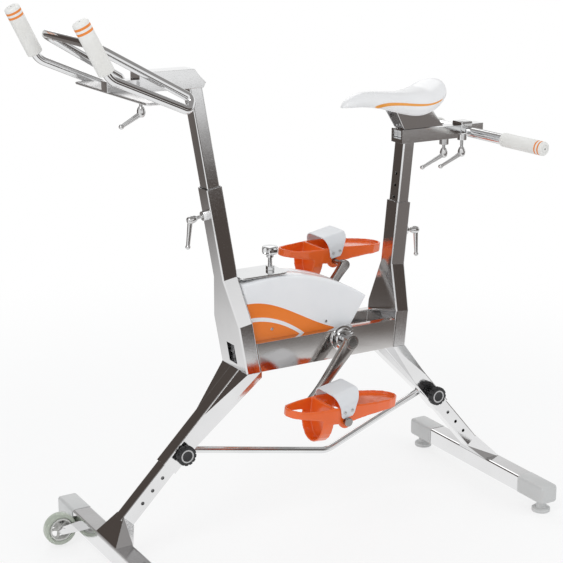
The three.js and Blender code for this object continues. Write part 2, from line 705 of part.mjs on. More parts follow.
function footBody(x, y) {
  const top = stand.bottom - cap.proud - fit;
  return turned([
    [0, 0], [foot.radius - foot.round, 0], [foot.radius, foot.round], [foot.radius, foot.rim - foot.round],
    [foot.radius - foot.round, foot.rim], [foot.neckRadius, foot.rim + foot.round], [foot.neckRadius, top],
    [foot.studRadius, top], [foot.studRadius, foot.studTop], [0, foot.studTop],
  ], [x, y, 0], [0, 0, 1], facets.medium);
}

[['front', stand.frontX], ['rear', stand.rearX]].forEach(([end, barX]) => {
  const right = endCap(barX);
  piece(bike, `${end}_cap_right`, right, 'grey');
  piece(bike, `${end}_cap_left`, mirrored(right), 'grey');
  piece(bike, `${end}_foot_right`, footBody(barX, foot.y), 'grey');
  piece(bike, `${end}_foot_left`, footBody(barX, -foot.y), 'grey');
});

// Transport wheels
const rimRadius = wheel.radius - wheel.tyreDepth;

function wheelTyre(y) {
  const half = wheel.width / 2;
  const points = [[rimRadius + fit, -half], [wheel.radius - wheel.shoulder, -half]];
  for (let k = 1; k < 5; k += 1) {
    const angle = Math.PI * k / 5;
    points.push([wheel.radius - wheel.shoulder + wheel.shoulder * Math.sin(angle), -half * Math.cos(angle)]);
  }
  points.push([wheel.radius - wheel.shoulder, half], [rimRadius + fit, half], [rimRadius + fit, -half]);
  return turned(points, [wheel.axleX, y, wheel.axleZ], [0, 1, 0]);
}

function wheelHub(y) {
  const across = (radius, width, sides) => rod([0, -width / 2, 0], [0, width / 2, 0], radius, { sides });
  const ring = cut(across(rimRadius, wheel.hubWidth, facets.large),
    across(rimRadius - wheel.rimDepth, 2 * wheel.hubWidth, facets.medium));
  const circle = (rimRadius - wheel.rimDepth + wheel.bossRadius) / 2;
  const holes = Array.from({ length: wheel.spokes }, (unused, i) => {
    const angle = 2 * Math.PI * i / wheel.spokes;
    const at = [circle * Math.cos(angle), circle * Math.sin(angle)];
    return rod([at[0], -wheel.width, at[1]], [at[0], wheel.width, at[1]], wheel.holeRadius, { sides: facets.tiny });
  });
  const web = cut(across(rimRadius - wheel.rimDepth / 2, wheel.webWidth, facets.medium), ...holes);
  const body = cut(
    join(ring, web, across(wheel.bossRadius, wheel.width, facets.small)),
    across(wheel.axleRadius + fit, 2 * wheel.width, facets.medium),
  );
  return moved(body, new THREE.Matrix4().makeTranslation(wheel.axleX, y, wheel.axleZ));
}

[['left', -1], ['right', 1]].forEach(([name, side]) => {
  piece(bike, `wheel_tyre_${name}`, wheelTyre(side * wheel.y), 'tyre');
  piece(bike, `wheel_hub_${name}`, wheelHub(side * wheel.y), 'white');
});

// Pull pins that lock the legs
function pullPin(size) {
  const start = -leg.tube / 2 - pin.bossLength - fit;
  const round = pin.rimRound;
  const knobBody = turned([
    [0, 0], [pin.knobRadius - round, 0], [pin.knobRadius, round], [pin.knobRadius, pin.knobLength - round],
    [pin.knobRadius - round, pin.knobLength], [pin.faceRadius, pin.knobLength],
    [pin.faceRadius - pin.faceDish, pin.knobLength - pin.faceDish], [0, pin.knobLength - pin.faceDish],
  ], [0, start, size.pinAt], [0, -1, 0]);
  const flutes = Array.from({ length: pin.flutes }, (unused, i) => {
    const angle = 2 * Math.PI * i / pin.flutes;
    const at = [pin.knobRadius * Math.cos(angle), size.pinAt + pin.knobRadius * Math.sin(angle)];
    return rod([at[0], start + overrun, at[1]], [at[0], start - pin.knobLength - overrun, at[1]],
      pin.fluteRadius, { sides: facets.tiny });
  });
  const nose = -leg.tube / 2 + leg.wall;
  return join(
    cut(knobBody, ...flutes),
    rod([0, start - overrun, size.pinAt], [0, nose, size.pinAt], pin.radius, { sides: facets.small }),
  );
}

piece(frontLegFrame, 'front_pin_knob', pullPin(frontLeg), 'black');
piece(rearLegFrame, 'rear_pin_knob', pullPin(rearLeg), 'black');

// Bearings of the crank axle
function bearingBody() {
  const at = (y) => [crank.axisX, y, crank.axisZ];
  const face = rail.halfWidth + fit;
  const bolts = Array.from({ length: bearing.bolts }, (unused, i) => {
    const angle = THREE.MathUtils.degToRad(bearing.boltTurn + 360 * i / bearing.bolts);
    const x = crank.axisX + bearing.boltCircle * Math.cos(angle);
    const z = crank.axisZ + bearing.boltCircle * Math.sin(angle);
    return rod([x, face, z], [x, face + bearing.flange + bearing.boltHead, z], bearing.boltRadius, { sides: 6 });
  });
  return cut(
    join(
      rod(at(face), at(face + bearing.flange), bearing.flangeRadius, { sides: facets.large }),
      rod(at(face), at(face + bearing.nose), bearing.noseRadius, { sides: facets.large }),
      rod(at(rail.halfWidth - bearing.barrel), at(face + overrun), bearing.barrelRadius, { sides: facets.large }),
      ...bolts,
    ),
    rod(at(0), at(2 * rail.halfWidth), crank.axleRadius + fit, { sides: facets.large }),
  );
}

const rightBearing = bearingBody();
piece(bike, 'bearing_right', rightBearing, 'polished');
piece(bike, 'bearing_left', mirrored(rightBearing), 'polished');

// Crank axle, drive pulley and cranks
const crankFrame = new THREE.Group();
crankFrame.position.set(crank.axisX, 0, crank.axisZ);
bike.add(crankFrame);
const axleEnd = crank.innerY + crank.thickness - crank.capWall;
const axle = rod([0, -axleEnd, 0], [0, axleEnd, 0], crank.axleRadius, { sides: facets.large });
piece(crankFrame, 'crank_axle', axle, 'satin');

function pulleyRing(radius, half) {
  return [[radius + belt.flange, -half - belt.flange], [radius + belt.flange, -half], [radius, -half],
    [radius, half], [radius + belt.flange, half], [radius + belt.flange, half + belt.flange]];
}

function drivePulley() {
  const half = belt.width / 2 + fit;
  const rim = belt.driveRadius - belt.rim;
  const body = turned([
    ...pulleyRing(belt.driveRadius, half),
    [rim, half + belt.flange], [rim, belt.web / 2], [belt.hubRadius, belt.web / 2],
    [belt.hubRadius, belt.hubWidth / 2],
    [crank.axleRadius + fit, belt.hubWidth / 2], [crank.axleRadius + fit, -belt.hubWidth / 2],
    [belt.hubRadius, -belt.hubWidth / 2], [belt.hubRadius, -belt.web / 2], [rim, -belt.web / 2],
    [rim, -half - belt.flange], [belt.driveRadius + belt.flange, -half - belt.flange],
  ], [0, belt.y, 0], [0, 1, 0]);
  const holes = Array.from({ length: belt.holes }, (unused, i) => {
    const angle = 2 * Math.PI * i / belt.holes;
    const at = [belt.holeCircle * Math.cos(angle), belt.holeCircle * Math.sin(angle)];
    return rod([at[0], belt.y - belt.width, at[1]], [at[0], belt.y + belt.width, at[1]], belt.holeRadius,
      { sides: facets.small });
  });
  return cut(body, ...holes);
}

piece(crankFrame, 'drive_pulley', drivePulley(), 'satin');

// A crank arm along +x with its pedal spindle, for the side y > 0.
function crankArm() {
  const inner = crank.innerY;
  const outer = inner + crank.thickness;
  const circle = (x, radius) => rod([x, inner, 0], [x, outer, 0], radius, { sides: facets.large });
  const web = outline([
    [0, -crank.endRadius], [crank.length / 2, -crank.waist], [crank.length, -crank.waist],
    [crank.length, crank.waist], [crank.length / 2, crank.waist], [0, crank.endRadius],
  ]);
  const spindleStart = inner + crank.capWall;
  const groove = cut(
    rod([0, outer - crank.groove, 0], [0, outer + overrun, 0], crank.grooveRadius + crank.groove,
      { sides: facets.large }),
    rod([0, outer - 2 * crank.groove, 0], [0, outer + 2 * overrun, 0], crank.grooveRadius, { sides: facets.large }),
  );
  return join(
    cut(
      join(circle(0, crank.eyeRadius), circle(crank.length, crank.endRadius),
        prism(web, 'y', inner + bite, outer - bite)),
      rod([0, inner - overrun, 0], [0, axleEnd + fit, 0], crank.axleRadius + fit, { sides: facets.large }),
      groove,
    ),
    rod([crank.length, spindleStart, 0], [crank.length, crank.spindleEnd, 0], crank.spindleRadius,
      { sides: facets.medium }),
    rod([crank.length, outer - crank.groove, 0], [crank.length, outer + crank.collar, 0], crank.collarRadius,
      { sides: facets.medium }),
    rod([crank.length, crank.spindleEnd, 0], [crank.length, crank.spindleEnd + crank.collar, 0], crank.collarRadius,
      { sides: 6 }),
  );
}

const spindles = [];
[['left', -1, 180 - crank.angle], ['right', 1, -crank.angle]].forEach(([name, side, degrees]) => {
  const armFrame = new THREE.Group();
  armFrame.rotation.y = THREE.MathUtils.degToRad(degrees);
  crankFrame.add(armFrame);
  const arm = crankArm();
  piece(armFrame, `crank_${name}`, side > 0 ? arm : mirrored(arm), 'dark');
  const angle = armFrame.rotation.y;
  spindles.push([name, side, crank.axisX + crank.length * Math.cos(angle),
    crank.axisZ - crank.length * Math.sin(angle)]);
});

// Pedals: a sandal with an open toe, a water scoop under the toes and a dished heel.
const pedalPlanShares = [[0, 0], [0.02, 0.36], [0.08, 0.66], [0.2, 0.88], [0.38, 1], [0.56, 0.97], [0.74, 0.88],
  [0.9, 0.68], [0.975, 0.38], [1, 0]];

// The pedal seen from its side: place along its length, and height as a share of the heel's.
const pedalTopShares = [[0, 0.64], [0.1, 0.61], [0.21, 0.68], [0.35, 0.83], [0.53, 0.96], [1, 1]];
const pedalUnderShares = [[1, 0.41], [0.78, 0.3], [0.63, 0.14], [0.53, -0.03], [0.44, -0.2], [0.35, -0.2],
  [0.23, 0.06], [0.1, 0.13], [0, 0.14]];

function pedalPlan(inset) {
  const from = -pedal.toe + inset;
  const length = pedal.toe + pedal.heel - 2 * inset;
  const width = pedal.halfWidth - inset;
  const side = new THREE.SplineCurve(pedalPlanShares.map(([along, across]) =>
    new THREE.Vector2(from + along * length, across * width)));
  const points = side.getPoints(facets.medium).map((point) => [point.x, point.y]);
  const back = points.slice(1, -1).reverse().map(([x, y]) => [x, -y]);
  return outline([...points, ...back]);
}

// Half an ellipse that hangs from the height of the toe's rim, across the pedal.
function scoopSection(inset, top) {
  const half = pedal.scoopHalfWidth - inset;
  const depth = pedal.scoopDepth - inset;
  const below = Array.from({ length: facets.medium + 1 }, (unused, i) => {
    const angle = Math.PI * i / facets.medium;
    return [half * Math.cos(angle), -depth * Math.sin(angle)];
  });
  return outline([[half, top], ...below, [-half, top]]);
}

function pedalBody() {
  const width = pedal.halfWidth;
  const low = -pedal.scoopDepth;
  const length = pedal.toe + pedal.heel;
  const placed = (shares) => shares.map(([along, up]) => [along * length - pedal.toe, up * pedal.top]);
  const side = outline([...placed(pedalTopShares), ...placed(pedalUnderShares)]);
  const plan = (inset) => prism(pedalPlan(inset), 'z', low - overrun, pedal.top + overrun);
  const within = (x, z, inset) => common(plan(inset), box(x, [-width, width], z));
  const whole = [low - overrun, pedal.top + overrun];
  const pocketRear = pedal.scoopRear - pedal.scoopWall;
  const lipTop = pedal.scoopLip;
  const lobe = (y) => rod([0, y, 0], [0, y + pedal.lobeWidth, 0], pedal.lobe, { sides: facets.large });
  const edge = width - pedal.lobeWidth;
  return cut(
    join(
      cut(
        common(plan(0), prism(side, 'y', -2 * width, 2 * width)),
        within([-pedal.toe, pocketRear], whole, pedal.wall),
        within([pedal.slotFrom, pedal.slotTo], whole, pedal.wall),
        within([pedal.deckFrom, pedal.heel], [pedal.deckTop, whole[1]], pedal.wall),
        within([pedal.deckFrom, pedal.heel], [low, pedal.deckTop - pedal.floor], pedal.wall),
      ),
      common(plan(0), cut(
        prism(scoopSection(0, lipTop), 'x', pedal.scoopFront, pedal.scoopRear),
        prism(scoopSection(pedal.scoopWall, whole[1]), 'x', pedal.scoopFront - overrun, pocketRear),
      )),
      rod([0, -edge, 0], [0, edge, 0], pedal.barrel, { sides: facets.medium }),
      common(plan(0), lobe(edge)),
      common(plan(0), lobe(-width)),
    ),
    rod([0, -2 * width, 0], [0, 2 * width, 0], crank.spindleRadius + fit, { sides: facets.medium }),
  );
}

// Foot strap: an arch over the pedal, wide on top and narrow at its bolted ends, higher at its rear.
function strapBody() {
  const out = pedal.halfWidth + fit + strap.thickness;
  const arch = (inset) => {
    const half = out - inset;
    return outline(softened([
      [-half, -2 * strap.peak], [-half, strap.peak - inset], [half, strap.peak - inset], [half, -2 * strap.peak],
    ], [1, strap.corner - inset, strap.corner - inset, 1], 5));
  };
  const reach = 2 * strap.rear;
  const band = cut(prism(arch(0), 'x', -reach, reach), prism(arch(strap.thickness), 'x', -2 * reach, 2 * reach));
  const above = 2 * strap.peak;
  const face = outline([
    [strap.endFront, strap.low], [strap.sideFront, strap.shoulder], [strap.front, strap.peak],
    [strap.front, above], [strap.rear, above], [strap.rear, strap.peak],
    [strap.sideRear, strap.shoulder], [strap.endRear, strap.low],
  ]);
  const sloped = new THREE.Matrix4().set(1, 0, 0, 0, 0, 1, 0, 0, strap.rise, 0, 1, 0, 0, 0, 0, 1);
  const bolts = strap.bolts.flatMap((x) => [-1, 1].map((y) => rod(
    [x, y * (out - strap.thickness / 2), strap.boltZ + strap.rise * x],
    [x, y * (out + strap.boltHead), strap.boltZ + strap.rise * x], strap.boltRadius, { sides: facets.tiny })));
  return join(moved(common(band, prism(face, 'y', -2 * out, 2 * out)), sloped), ...bolts);
}

spindles.forEach(([name, side, x, z]) => {
  const pedalFrame = new THREE.Group();
  pedalFrame.position.set(x, side * pedal.y, z);
  pedalFrame.rotation.y = THREE.MathUtils.degToRad(pedal.tilt);
  bike.add(pedalFrame);
  piece(pedalFrame, `pedal_${name}`, pedalBody(), 'orange');
  piece(pedalFrame, `strap_${name}`, strapBody(), 'grey');
});

// Brake drum, its carrier, the belt and the pad
function brakeCarrier() {
  const inner = carrier.halfSpan - carrier.wall;
  const baseZ = rail.bottom + rail.wall + fit;
  const cheek = outline(softened([
    [carrier.frontX, baseZ], [carrier.rearX, baseZ], [carrier.topRearX, carrier.topZ],
    [carrier.topFrontX, carrier.topZ],
  ], [1, 1, drum.bossRadius, drum.bossRadius]));
  const reach = rail.halfWidth - rail.wall - fit;
  const at = (y) => [drum.axisX, y, drum.axisZ];
  return join(
    box([carrier.frontX, carrier.rearX], [-reach, reach], [baseZ, baseZ + carrier.wall]),
    prism(cheek, 'y', inner, carrier.halfSpan),
    prism(cheek, 'y', -carrier.halfSpan, -inner),
    rod(at(-inner - bite), at(inner + bite), drum.axleRadius, { sides: facets.medium }),
    rod(at(carrier.halfSpan - bite), at(carrier.halfSpan + carrier.wall - bite), carrier.shaftHead, { sides: 6 }),
    rod(at(1 - carrier.halfSpan), at(1 - carrier.halfSpan - carrier.wall), carrier.shaftHead, { sides: 6 }),
  );
}

piece(bike, 'brake_carrier', brakeCarrier(), 'satin');

function brakeDrum() {
  const half = drum.width / 2;
  const rim = drum.radius - drum.rim;
  const bore = drum.axleRadius + fit;
  const beltHalf = belt.width / 2 + fit;
  const groove = pulleyRing(belt.drumRadius, beltHalf).map(([radius, y]) => [radius, y + belt.y]);
  const end = belt.y - beltHalf - belt.flange;
  return turned([
    [bore, end], ...groove, [belt.drumRadius + belt.flange, -belt.web / 2],
    [rim, -belt.web / 2], [rim, -half + drum.rim], [drum.radius, -half + drum.rim], [drum.radius, half],
    [rim, half], [rim, belt.web / 2], [drum.bossRadius, belt.web / 2], [drum.bossRadius, half], [bore, half],
    [bore, end],
  ], [drum.axisX, 0, drum.axisZ], [0, 1, 0], facets.large + facets.small);
}

piece(bike, 'brake_drum', brakeDrum(), 'satin');

// The belt's outline round both pulleys, outside its running radii by an offset.
function beltOutline(offset) {
  const big = belt.driveRadius + fit + offset;
  const small = belt.drumRadius + fit + offset;
  const dx = crank.axisX - drum.axisX;
  const dz = crank.axisZ - drum.axisZ;
  const span = Math.hypot(dx, dz);
  const line = Math.atan2(dz, dx);
  const wrap = Math.acos((big - small) / span);
  const shape = new THREE.Shape();
  shape.absarc(crank.axisX, crank.axisZ, big, line - Math.PI + wrap, line + Math.PI - wrap, false);
  shape.absarc(drum.axisX, drum.axisZ, small, line + Math.PI - wrap, line + Math.PI + wrap, false);
  shape.closePath();
  return shape;
}

const beltLoop = cut(
  prism(beltOutline(belt.thickness), 'y', belt.y - belt.width / 2, belt.y + belt.width / 2,
    { curveSegments: facets.large }),
  prism(beltOutline(0), 'y', belt.y - belt.width, belt.y + belt.width, { curveSegments: facets.large }),
);
piece(bike, 'belt', beltLoop, 'black');

const padBottom = drum.axisZ + drum.radius + pad.gap;

function brakePad() {
  const half = carrier.halfSpan - carrier.wall - fit;
  const round = rod([drum.axisX, -2 * half, drum.axisZ], [drum.axisX, 2 * half, drum.axisZ],
    drum.radius + pad.gap, { sides: 4 * facets.large });
  const blockHalf = drum.width / 2;
  const top = padBottom + pad.height;
  return join(
    cut(box([pad.x - pad.length / 2, pad.x + pad.length / 2], [-blockHalf, blockHalf],
      [padBottom - pad.height / 2, top - pad.backing / 2]), round),
    box([pad.x - pad.length / 2, pad.x + pad.length / 2], [-half, half], [top - pad.backing, top]),
  );
}

piece(bike, 'brake_pad', brakePad(), 'black');

// Bridge plate with the nut of the resistance screw
function bridgePlate() {
  const frontX = planeX(frontFrame, tubing.sleeveDepth / 2, bridgeBottom) + fit;
  const length = bridge.rearX - frontX;
  const middle = (bridge.rearX + frontX) / 2;
  const plate = outline(roundedRectangle(length, 2 * bridge.halfWidth, bridge.corner)
    .map(([x, y]) => [middle + x, y]));
  const top = bridgeBottom + bridge.thickness;
  return cut(
    join(prism(plate, 'z', bridgeBottom, top),
      rod([knob.x, 0, top - bite], [knob.x, 0, nutTop], bridge.nutRadius, { sides: 6 })),
    rod([knob.x, 0, bridgeBottom - overrun], [knob.x, 0, nutTop + overrun], knob.stem + fit,
      { sides: facets.medium }),
  );
}

piece(bike, 'bridge_plate', bridgePlate(), 'polished');

function resistanceKnob() {
  const points = Array.from({ length: facets.tiny * knob.lobes }, (unused, i) => {
    const angle = 2 * Math.PI * i / (facets.tiny * knob.lobes);
    const radius = knob.radius - knob.round + knob.lobe * Math.cos(knob.lobes * angle);
    return [knob.x + radius * Math.cos(angle), radius * Math.sin(angle)];
  });
  const rounded = { bevelEnabled: true, bevelSize: knob.round, bevelThickness: knob.round, bevelSegments: 2 };
  const screwEnd = padBottom + pad.height + fit;
  return join(
    prism(outline(points), 'z', knobBottom + knob.round, knobTop - knob.round, rounded),
    rod([knob.x, 0, screwEnd], [knob.x, 0, knobBottom + knob.round], knob.stem, { sides: facets.medium }),
    rod([knob.x, 0, knobBottom - knob.collarHeight], [knob.x, 0, knobBottom + knob.round], knob.collar,
      { sides: facets.medium }),
  );
}

piece(bike, 'resistance_knob', resistanceKnob(), 'polished');

// Moulded cover of the drive, in two halves
function coverOutline(inset) {
  const front = (z) => planeX(frontFrame, tubing.sleeveDepth / 2, z) + cover.frontGap + inset;
  const radius = cover.arcRadius - inset;
  const arcZ = (x) => coverArcZ + Math.sqrt(radius * radius - (x - cover.arcX) ** 2);
  const bulge = cover.bulge - inset;
  const rearX = cover.rearX - inset;
  const rearZ = arcZ(rearX);
  const topZ = arcZ(front(coverArcZ + radius));
  const arcFrom = Math.atan2(topZ - coverArcZ, front(topZ) - cover.arcX);
  const arcTo = Math.atan2(rearZ - coverArcZ, rearX - cover.arcX);
  const points = [];
  for (let k = 0; k <= facets.medium; k += 1) {
    const angle = arcFrom + (arcTo - arcFrom) * k / facets.medium;
    points.push([cover.arcX + radius * Math.cos(angle), coverArcZ + radius * Math.sin(angle)]);
  }
  const bulgeTop = Math.asin((rail.top - crank.axisZ) / cover.bulge);
  const bulgeLow = Math.asin((cover.bottom - crank.axisZ) / bulge);
  for (let k = 0; k <= 5; k += 1) {
    const angle = bulgeTop + (bulgeLow - bulgeTop) * k / 5;
    points.push([crank.axisX + bulge * Math.cos(angle), crank.axisZ + bulge * Math.sin(angle)]);
  }
  points.push([front(cover.bottom), cover.bottom]);
  return outline(points);
}

function coverShell() {
  const bevel = (round) => ({
    bevelEnabled: true, bevelSize: round, bevelThickness: round, bevelOffset: -round, bevelSegments: 2,
  });
  const round = cover.round;
  const inner = cover.halfWidth - cover.wall;
  const innerRound = round - cover.wall;
  const shell = cut(
    prism(coverOutline(0), 'y', -cover.halfWidth + round, cover.halfWidth - round, bevel(round)),
    prism(coverOutline(cover.wall), 'y', -inner + innerRound, inner - innerRound, bevel(innerRound)),
  );
  const floor = cover.bottom + round;
  return cut(
    shell,
    box([2 * frontColumn.footX, 2 * rearColumn.footX], [-rail.halfWidth, rail.halfWidth], [0, floor]),
    rod([knob.x, 0, coverArcZ], [knob.x, 0, bridgeBottom + overrun], knob.stem + passage, { sides: facets.medium }),
    rod([crank.axisX, -rail.halfWidth, crank.axisZ], [crank.axisX, rail.halfWidth, crank.axisZ],
      crank.axleRadius + passage, { sides: facets.medium }),
  );
}

function coverHalf() {
  const half = common(coverShell(), box([2 * frontColumn.footX, 2 * rearColumn.footX], [fit / 2, rail.halfWidth],
    [0, nutTop]));
  const boss = rod([cover.screwX, carrier.halfSpan + fit, cover.screwZ],
    [cover.screwX, cover.halfWidth - cover.wall / 2, cover.screwZ], cover.boss, { sides: facets.small });
  return join(half, boss);
}

const rightCover = coverHalf();
piece(bike, 'cover_right', rightCover, 'white');
piece(bike, 'cover_left', mirrored(rightCover), 'white');

// Front post and the receiver of the handlebar slide
function postTube(from, to) {
  const inner = [tubing.postDepth - 2 * tubing.postWall, tubing.postWidth - 2 * tubing.postWall];
  return cut(
    loft([ringAt(tubing.postDepth, tubing.postWidth, from), ringAt(tubing.postDepth, tubing.postWidth, to)]),
    box([-inner[0] / 2, inner[0] / 2], [-inner[1] / 2, inner[1] / 2], [from - overrun, to - 2 * tubing.postWall]),
  );
}

const stemClamp = clampFrame([stem.clampX, 0, stem.receiverBottom], [0, 0, -1], [-1, 0, 0]);
bike.add(stemClamp);

function frontPost() {
  const side = outline([
    [stem.receiverFront, stem.receiverBottom], [stem.receiverFront, stem.receiverTop],
    [stem.chamferTopX, stem.receiverTop], [stem.chamferMidX, stem.chamferMidZ], [stem.backX, stem.backZ],
    [planeX(frontFrame, tubing.postDepth / 2, stem.receiverBottom), stem.receiverBottom],
  ]);
  const half = stem.receiverWidth / 2;
  const slideHalf = stem.slideWidth / 2 + fit;
  const receiver = join(
    prism(side, 'y', -half, half),
    clampBoss(stemClamp, clamp.bossRadius, clamp.smallBoss, tubing.postWall / 2),
  );
  const bore = box([stem.receiverFront - overrun, stem.boreEnd], [-slideHalf, slideHalf],
    [stem.slideBottom - fit, stem.slideBottom + stem.slideHeight + fit]);
  const whole = join(postTube(stem.postFrom, stem.postTo), intoFrame(receiver, frontFrame));
  return cut(
    whole,
    intoFrame(bore, frontFrame),
    intoFrame(clampBore(stemClamp, stem.slideBottom - stem.receiverBottom + overrun, clamp.smallBoss), frontFrame),
  );
}

piece(frontFrame, 'front_post', frontPost(), 'polished');
piece(
  frontClamp, 'front_post_lever', clampLever(clamp.bossHeight, sleeveClampDepth, levers.frontColumn), 'polished');
piece(stemClamp, 'handlebar_lever', clampLever(
  clamp.smallBoss, stem.slideBottom - stem.receiverBottom - fit, levers.stem), 'polished');

// Handlebar slide and handlebar
function hollowSlide(size) {
  const half = size.slideWidth / 2;
  const top = size.slideBottom + size.slideHeight;
  const wall = size.slideWall;
  return cut(
    box([size.slideFront, size.slideRear], [-half, half], [size.slideBottom, top]),
    box([size.slideFront + wall, size.slideRear + overrun], [-half + wall, half - wall],
      [size.slideBottom + wall, top - wall]),
  );
}

piece(bike, 'handlebar_slide', hollowSlide(stem), 'polished');

const gripStart = new THREE.Vector3(bar.gripEndX, bar.gripEndY, bar.gripEndZ);
const gripWay = new THREE.Vector3(bar.bendX, bar.bendY, bar.bendZ).sub(gripStart).normalize();

function handlebarPath() {
  const corners = [
    gripStart.clone().addScaledVector(gripWay, grip.wall + fit),
    new THREE.Vector3(bar.bendX, bar.bendY, bar.bendZ),
    new THREE.Vector3(bar.rearX, bar.rearY, bar.rearZ),
    new THREE.Vector3(bar.returnX, bar.returnY, bar.returnZ),
    new THREE.Vector3(bar.frontX, bar.frontY, bar.frontZ),
  ];
  const across = (point) => new THREE.Vector3(point.x, -point.y, point.z);
  const all = [...corners, ...corners.map(across).reverse()];
  const radii = [bar.gripBend, bar.loopBend, bar.loopBend, bar.frontBend];
  return bend(all, [...radii, ...radii.slice().reverse()]);
}

function handlebarBody() {
  const from = bar.plateX - bar.plateLength / 2;
  const top = stem.slideBottom - fit;
  const reach = bar.rearY + bar.radius / 4;
  return join(
    bentTube(handlebarPath(), bar.radius, facets.small),
    box([from, from + bar.plateLength], [-reach, reach], [top - bar.plateThickness, top]),
  );
}

piece(bike, 'handlebar', handlebarBody(), 'polished');

function gripBody(start, way, radius, length, bore) {
  const round = grip.round;
  return turned([
    [0, 0], [radius - round, 0], [radius - round / 3, round / 3], [radius, round],
    [radius, length - round / 2], [radius - round / 2, length], [bore + fit, length], [bore + fit, grip.wall],
    [0, grip.wall],
  ], start, way, facets.large);
}

[['left', -1], ['right', 1]].forEach(([name, side]) => {
  const start = [gripStart.x, side * gripStart.y, gripStart.z];
  const way = [gripWay.x, side * gripWay.y, gripWay.z];
  piece(bike, `grip_${name}`, gripBody(start, way, grip.radius, grip.length, bar.radius), 'white');
});

// Saddle post, slide, bracket and saddle
const seatClamp = clampFrame([seat.clampX, 0, seat.receiverBottom], [0, 0, -1], [-1, 0, 0]);
bike.add(seatClamp);

function saddlePost() {
  const side = outline([
    [seat.receiverFront, seat.receiverBottom], [seat.receiverRear, seat.receiverBottom],
    [seat.receiverRear, seat.cutRearZ], [seat.cutTopX, seat.receiverTop], [seat.receiverFront, seat.receiverTop],
  ]);
  const half = seat.receiverWidth / 2;
  const slideHalf = seat.slideWidth / 2 + fit;
  const receiver = join(
    prism(side, 'y', -half, half),
    clampBoss(seatClamp, clamp.bossRadius, clamp.smallBoss, tubing.postWall / 2),
  );
  const bore = box([seat.receiverFront - overrun, seat.receiverRear + overrun], [-slideHalf, slideHalf],
    [seat.slideBottom - fit, seat.slideBottom + seat.slideHeight + fit]);
  const slot = box([seat.slotFront, seat.receiverRear], [-seat.slotWidth / 2, seat.slotWidth / 2],
    [seat.slideBottom, seat.receiverTop + overrun]);
  const holes = Array.from({ length: seat.holes }, (unused, i) => {
    const place = seat.holeTop - i * seat.holeGap;
    return rod([-tubing.postDepth, 0, place], [0, 0, place], seat.postHole, { sides: facets.small });
  });
  const whole = join(postTube(seat.postFrom, seat.postTo), intoFrame(receiver, rearFrame));
  return cut(
    whole,
    intoFrame(join(bore, slot), rearFrame),
    intoFrame(clampBore(seatClamp, seat.slideBottom - seat.receiverBottom + overrun, clamp.smallBoss), rearFrame),
    ...holes,
  );
}

piece(rearFrame, 'saddle_post', saddlePost(), 'polished');
piece(
  rearClamp, 'saddle_post_lever', clampLever(clamp.bossHeight, sleeveClampDepth, levers.rearColumn), 'polished');
piece(seatClamp, 'saddle_lever', clampLever(
  clamp.smallBoss, seat.slideBottom - seat.receiverBottom - fit, levers.seat), 'polished');
piece(bike, 'saddle_slide', hollowSlide(seat), 'polished');

// Stations of the saddle along its length: place, half width, crown and rim height, as shares.
const saddleStationShares = [
  [0, 0.07, 0.46, 0.34], [0.02, 0.146, 0.56, 0.345], [0.07, 0.23, 0.62, 0.35], [0.155, 0.29, 0.745, 0.345],
  [0.3, 0.35, 0.76, 0.285], [0.43, 0.44, 0.725, 0.175], [0.55, 0.62, 0.695, 0.06], [0.65, 0.83, 0.69, 0.005],
  [0.74, 0.97, 0.71, 0.045], [0.84, 1, 0.775, 0.2], [0.92, 0.92, 0.895, 0.415], [0.975, 0.72, 0.975, 0.58],
  [1, 0.45, 0.99, 0.7],
];

// One cross-section: a flat base, a rolled rim and a broad top.
const saddleSectionShares = [[-0.86, 0], [-0.97, 0.1], [-1, 0.3], [-0.97, 0.52], [-0.88, 0.72], [-0.7, 0.87],
  [-0.45, 0.96], [-0.2, 0.99], [0, 1]];

function saddleBracket() {
  const bottom = seat.receiverTop + bracket.gap;
  const half = bracket.base / 2;
  const wingTop = (saddle.skirt + saddle.crown) / 2;
  const wing = loft([
    [[bracket.frontX, half - bracket.plate, bottom], [bracket.frontX, half, bottom],
      [bracket.rearX, half, bottom], [bracket.rearX, half - bracket.plate, bottom]],
    [[bracket.wingFrontX, bracket.wingHalfWidth - bracket.plate, wingTop],
      [bracket.wingFrontX, bracket.wingHalfWidth, wingTop], [bracket.wingRearX, bracket.wingHalfWidth, wingTop],
      [bracket.wingRearX, bracket.wingHalfWidth - bracket.plate, wingTop]],
  ]);
  const length = saddle.tailX - saddle.noseX;
  const seatBase = outline([
    ...saddleStationShares.map(([along, , , rim]) =>
      [saddle.noseX + along * length, saddle.skirt + rim * (saddle.crown - saddle.skirt) - fit]),
    [saddle.tailX, 2 * saddle.crown], [saddle.noseX, 2 * saddle.crown],
  ]);
  const wings = cut(join(wing, mirrored(wing)), prism(seatBase, 'y', -saddle.halfWidth, saddle.halfWidth));
  const slideTop = seat.slideBottom + seat.slideHeight + fit;
  const bolts = [bracket.boltFrontX, bracket.boltRearX].flatMap((x) => [
    rod([x, 0, slideTop], [x, 0, bottom + bracket.plate], bracket.boltRadius, { sides: facets.small }),
    rod([x, 0, bottom + bite], [x, 0, bottom + bracket.plate + bracket.boltHeadHeight], bracket.boltHead,
      { sides: 6 }),
  ]);
  return join(
    box([bracket.frontX, bracket.rearX], [-half, half], [bottom, bottom + bracket.plate]),
    wings, ...bolts,
  );
}

piece(bike, 'saddle_bracket', saddleBracket(), 'satin');

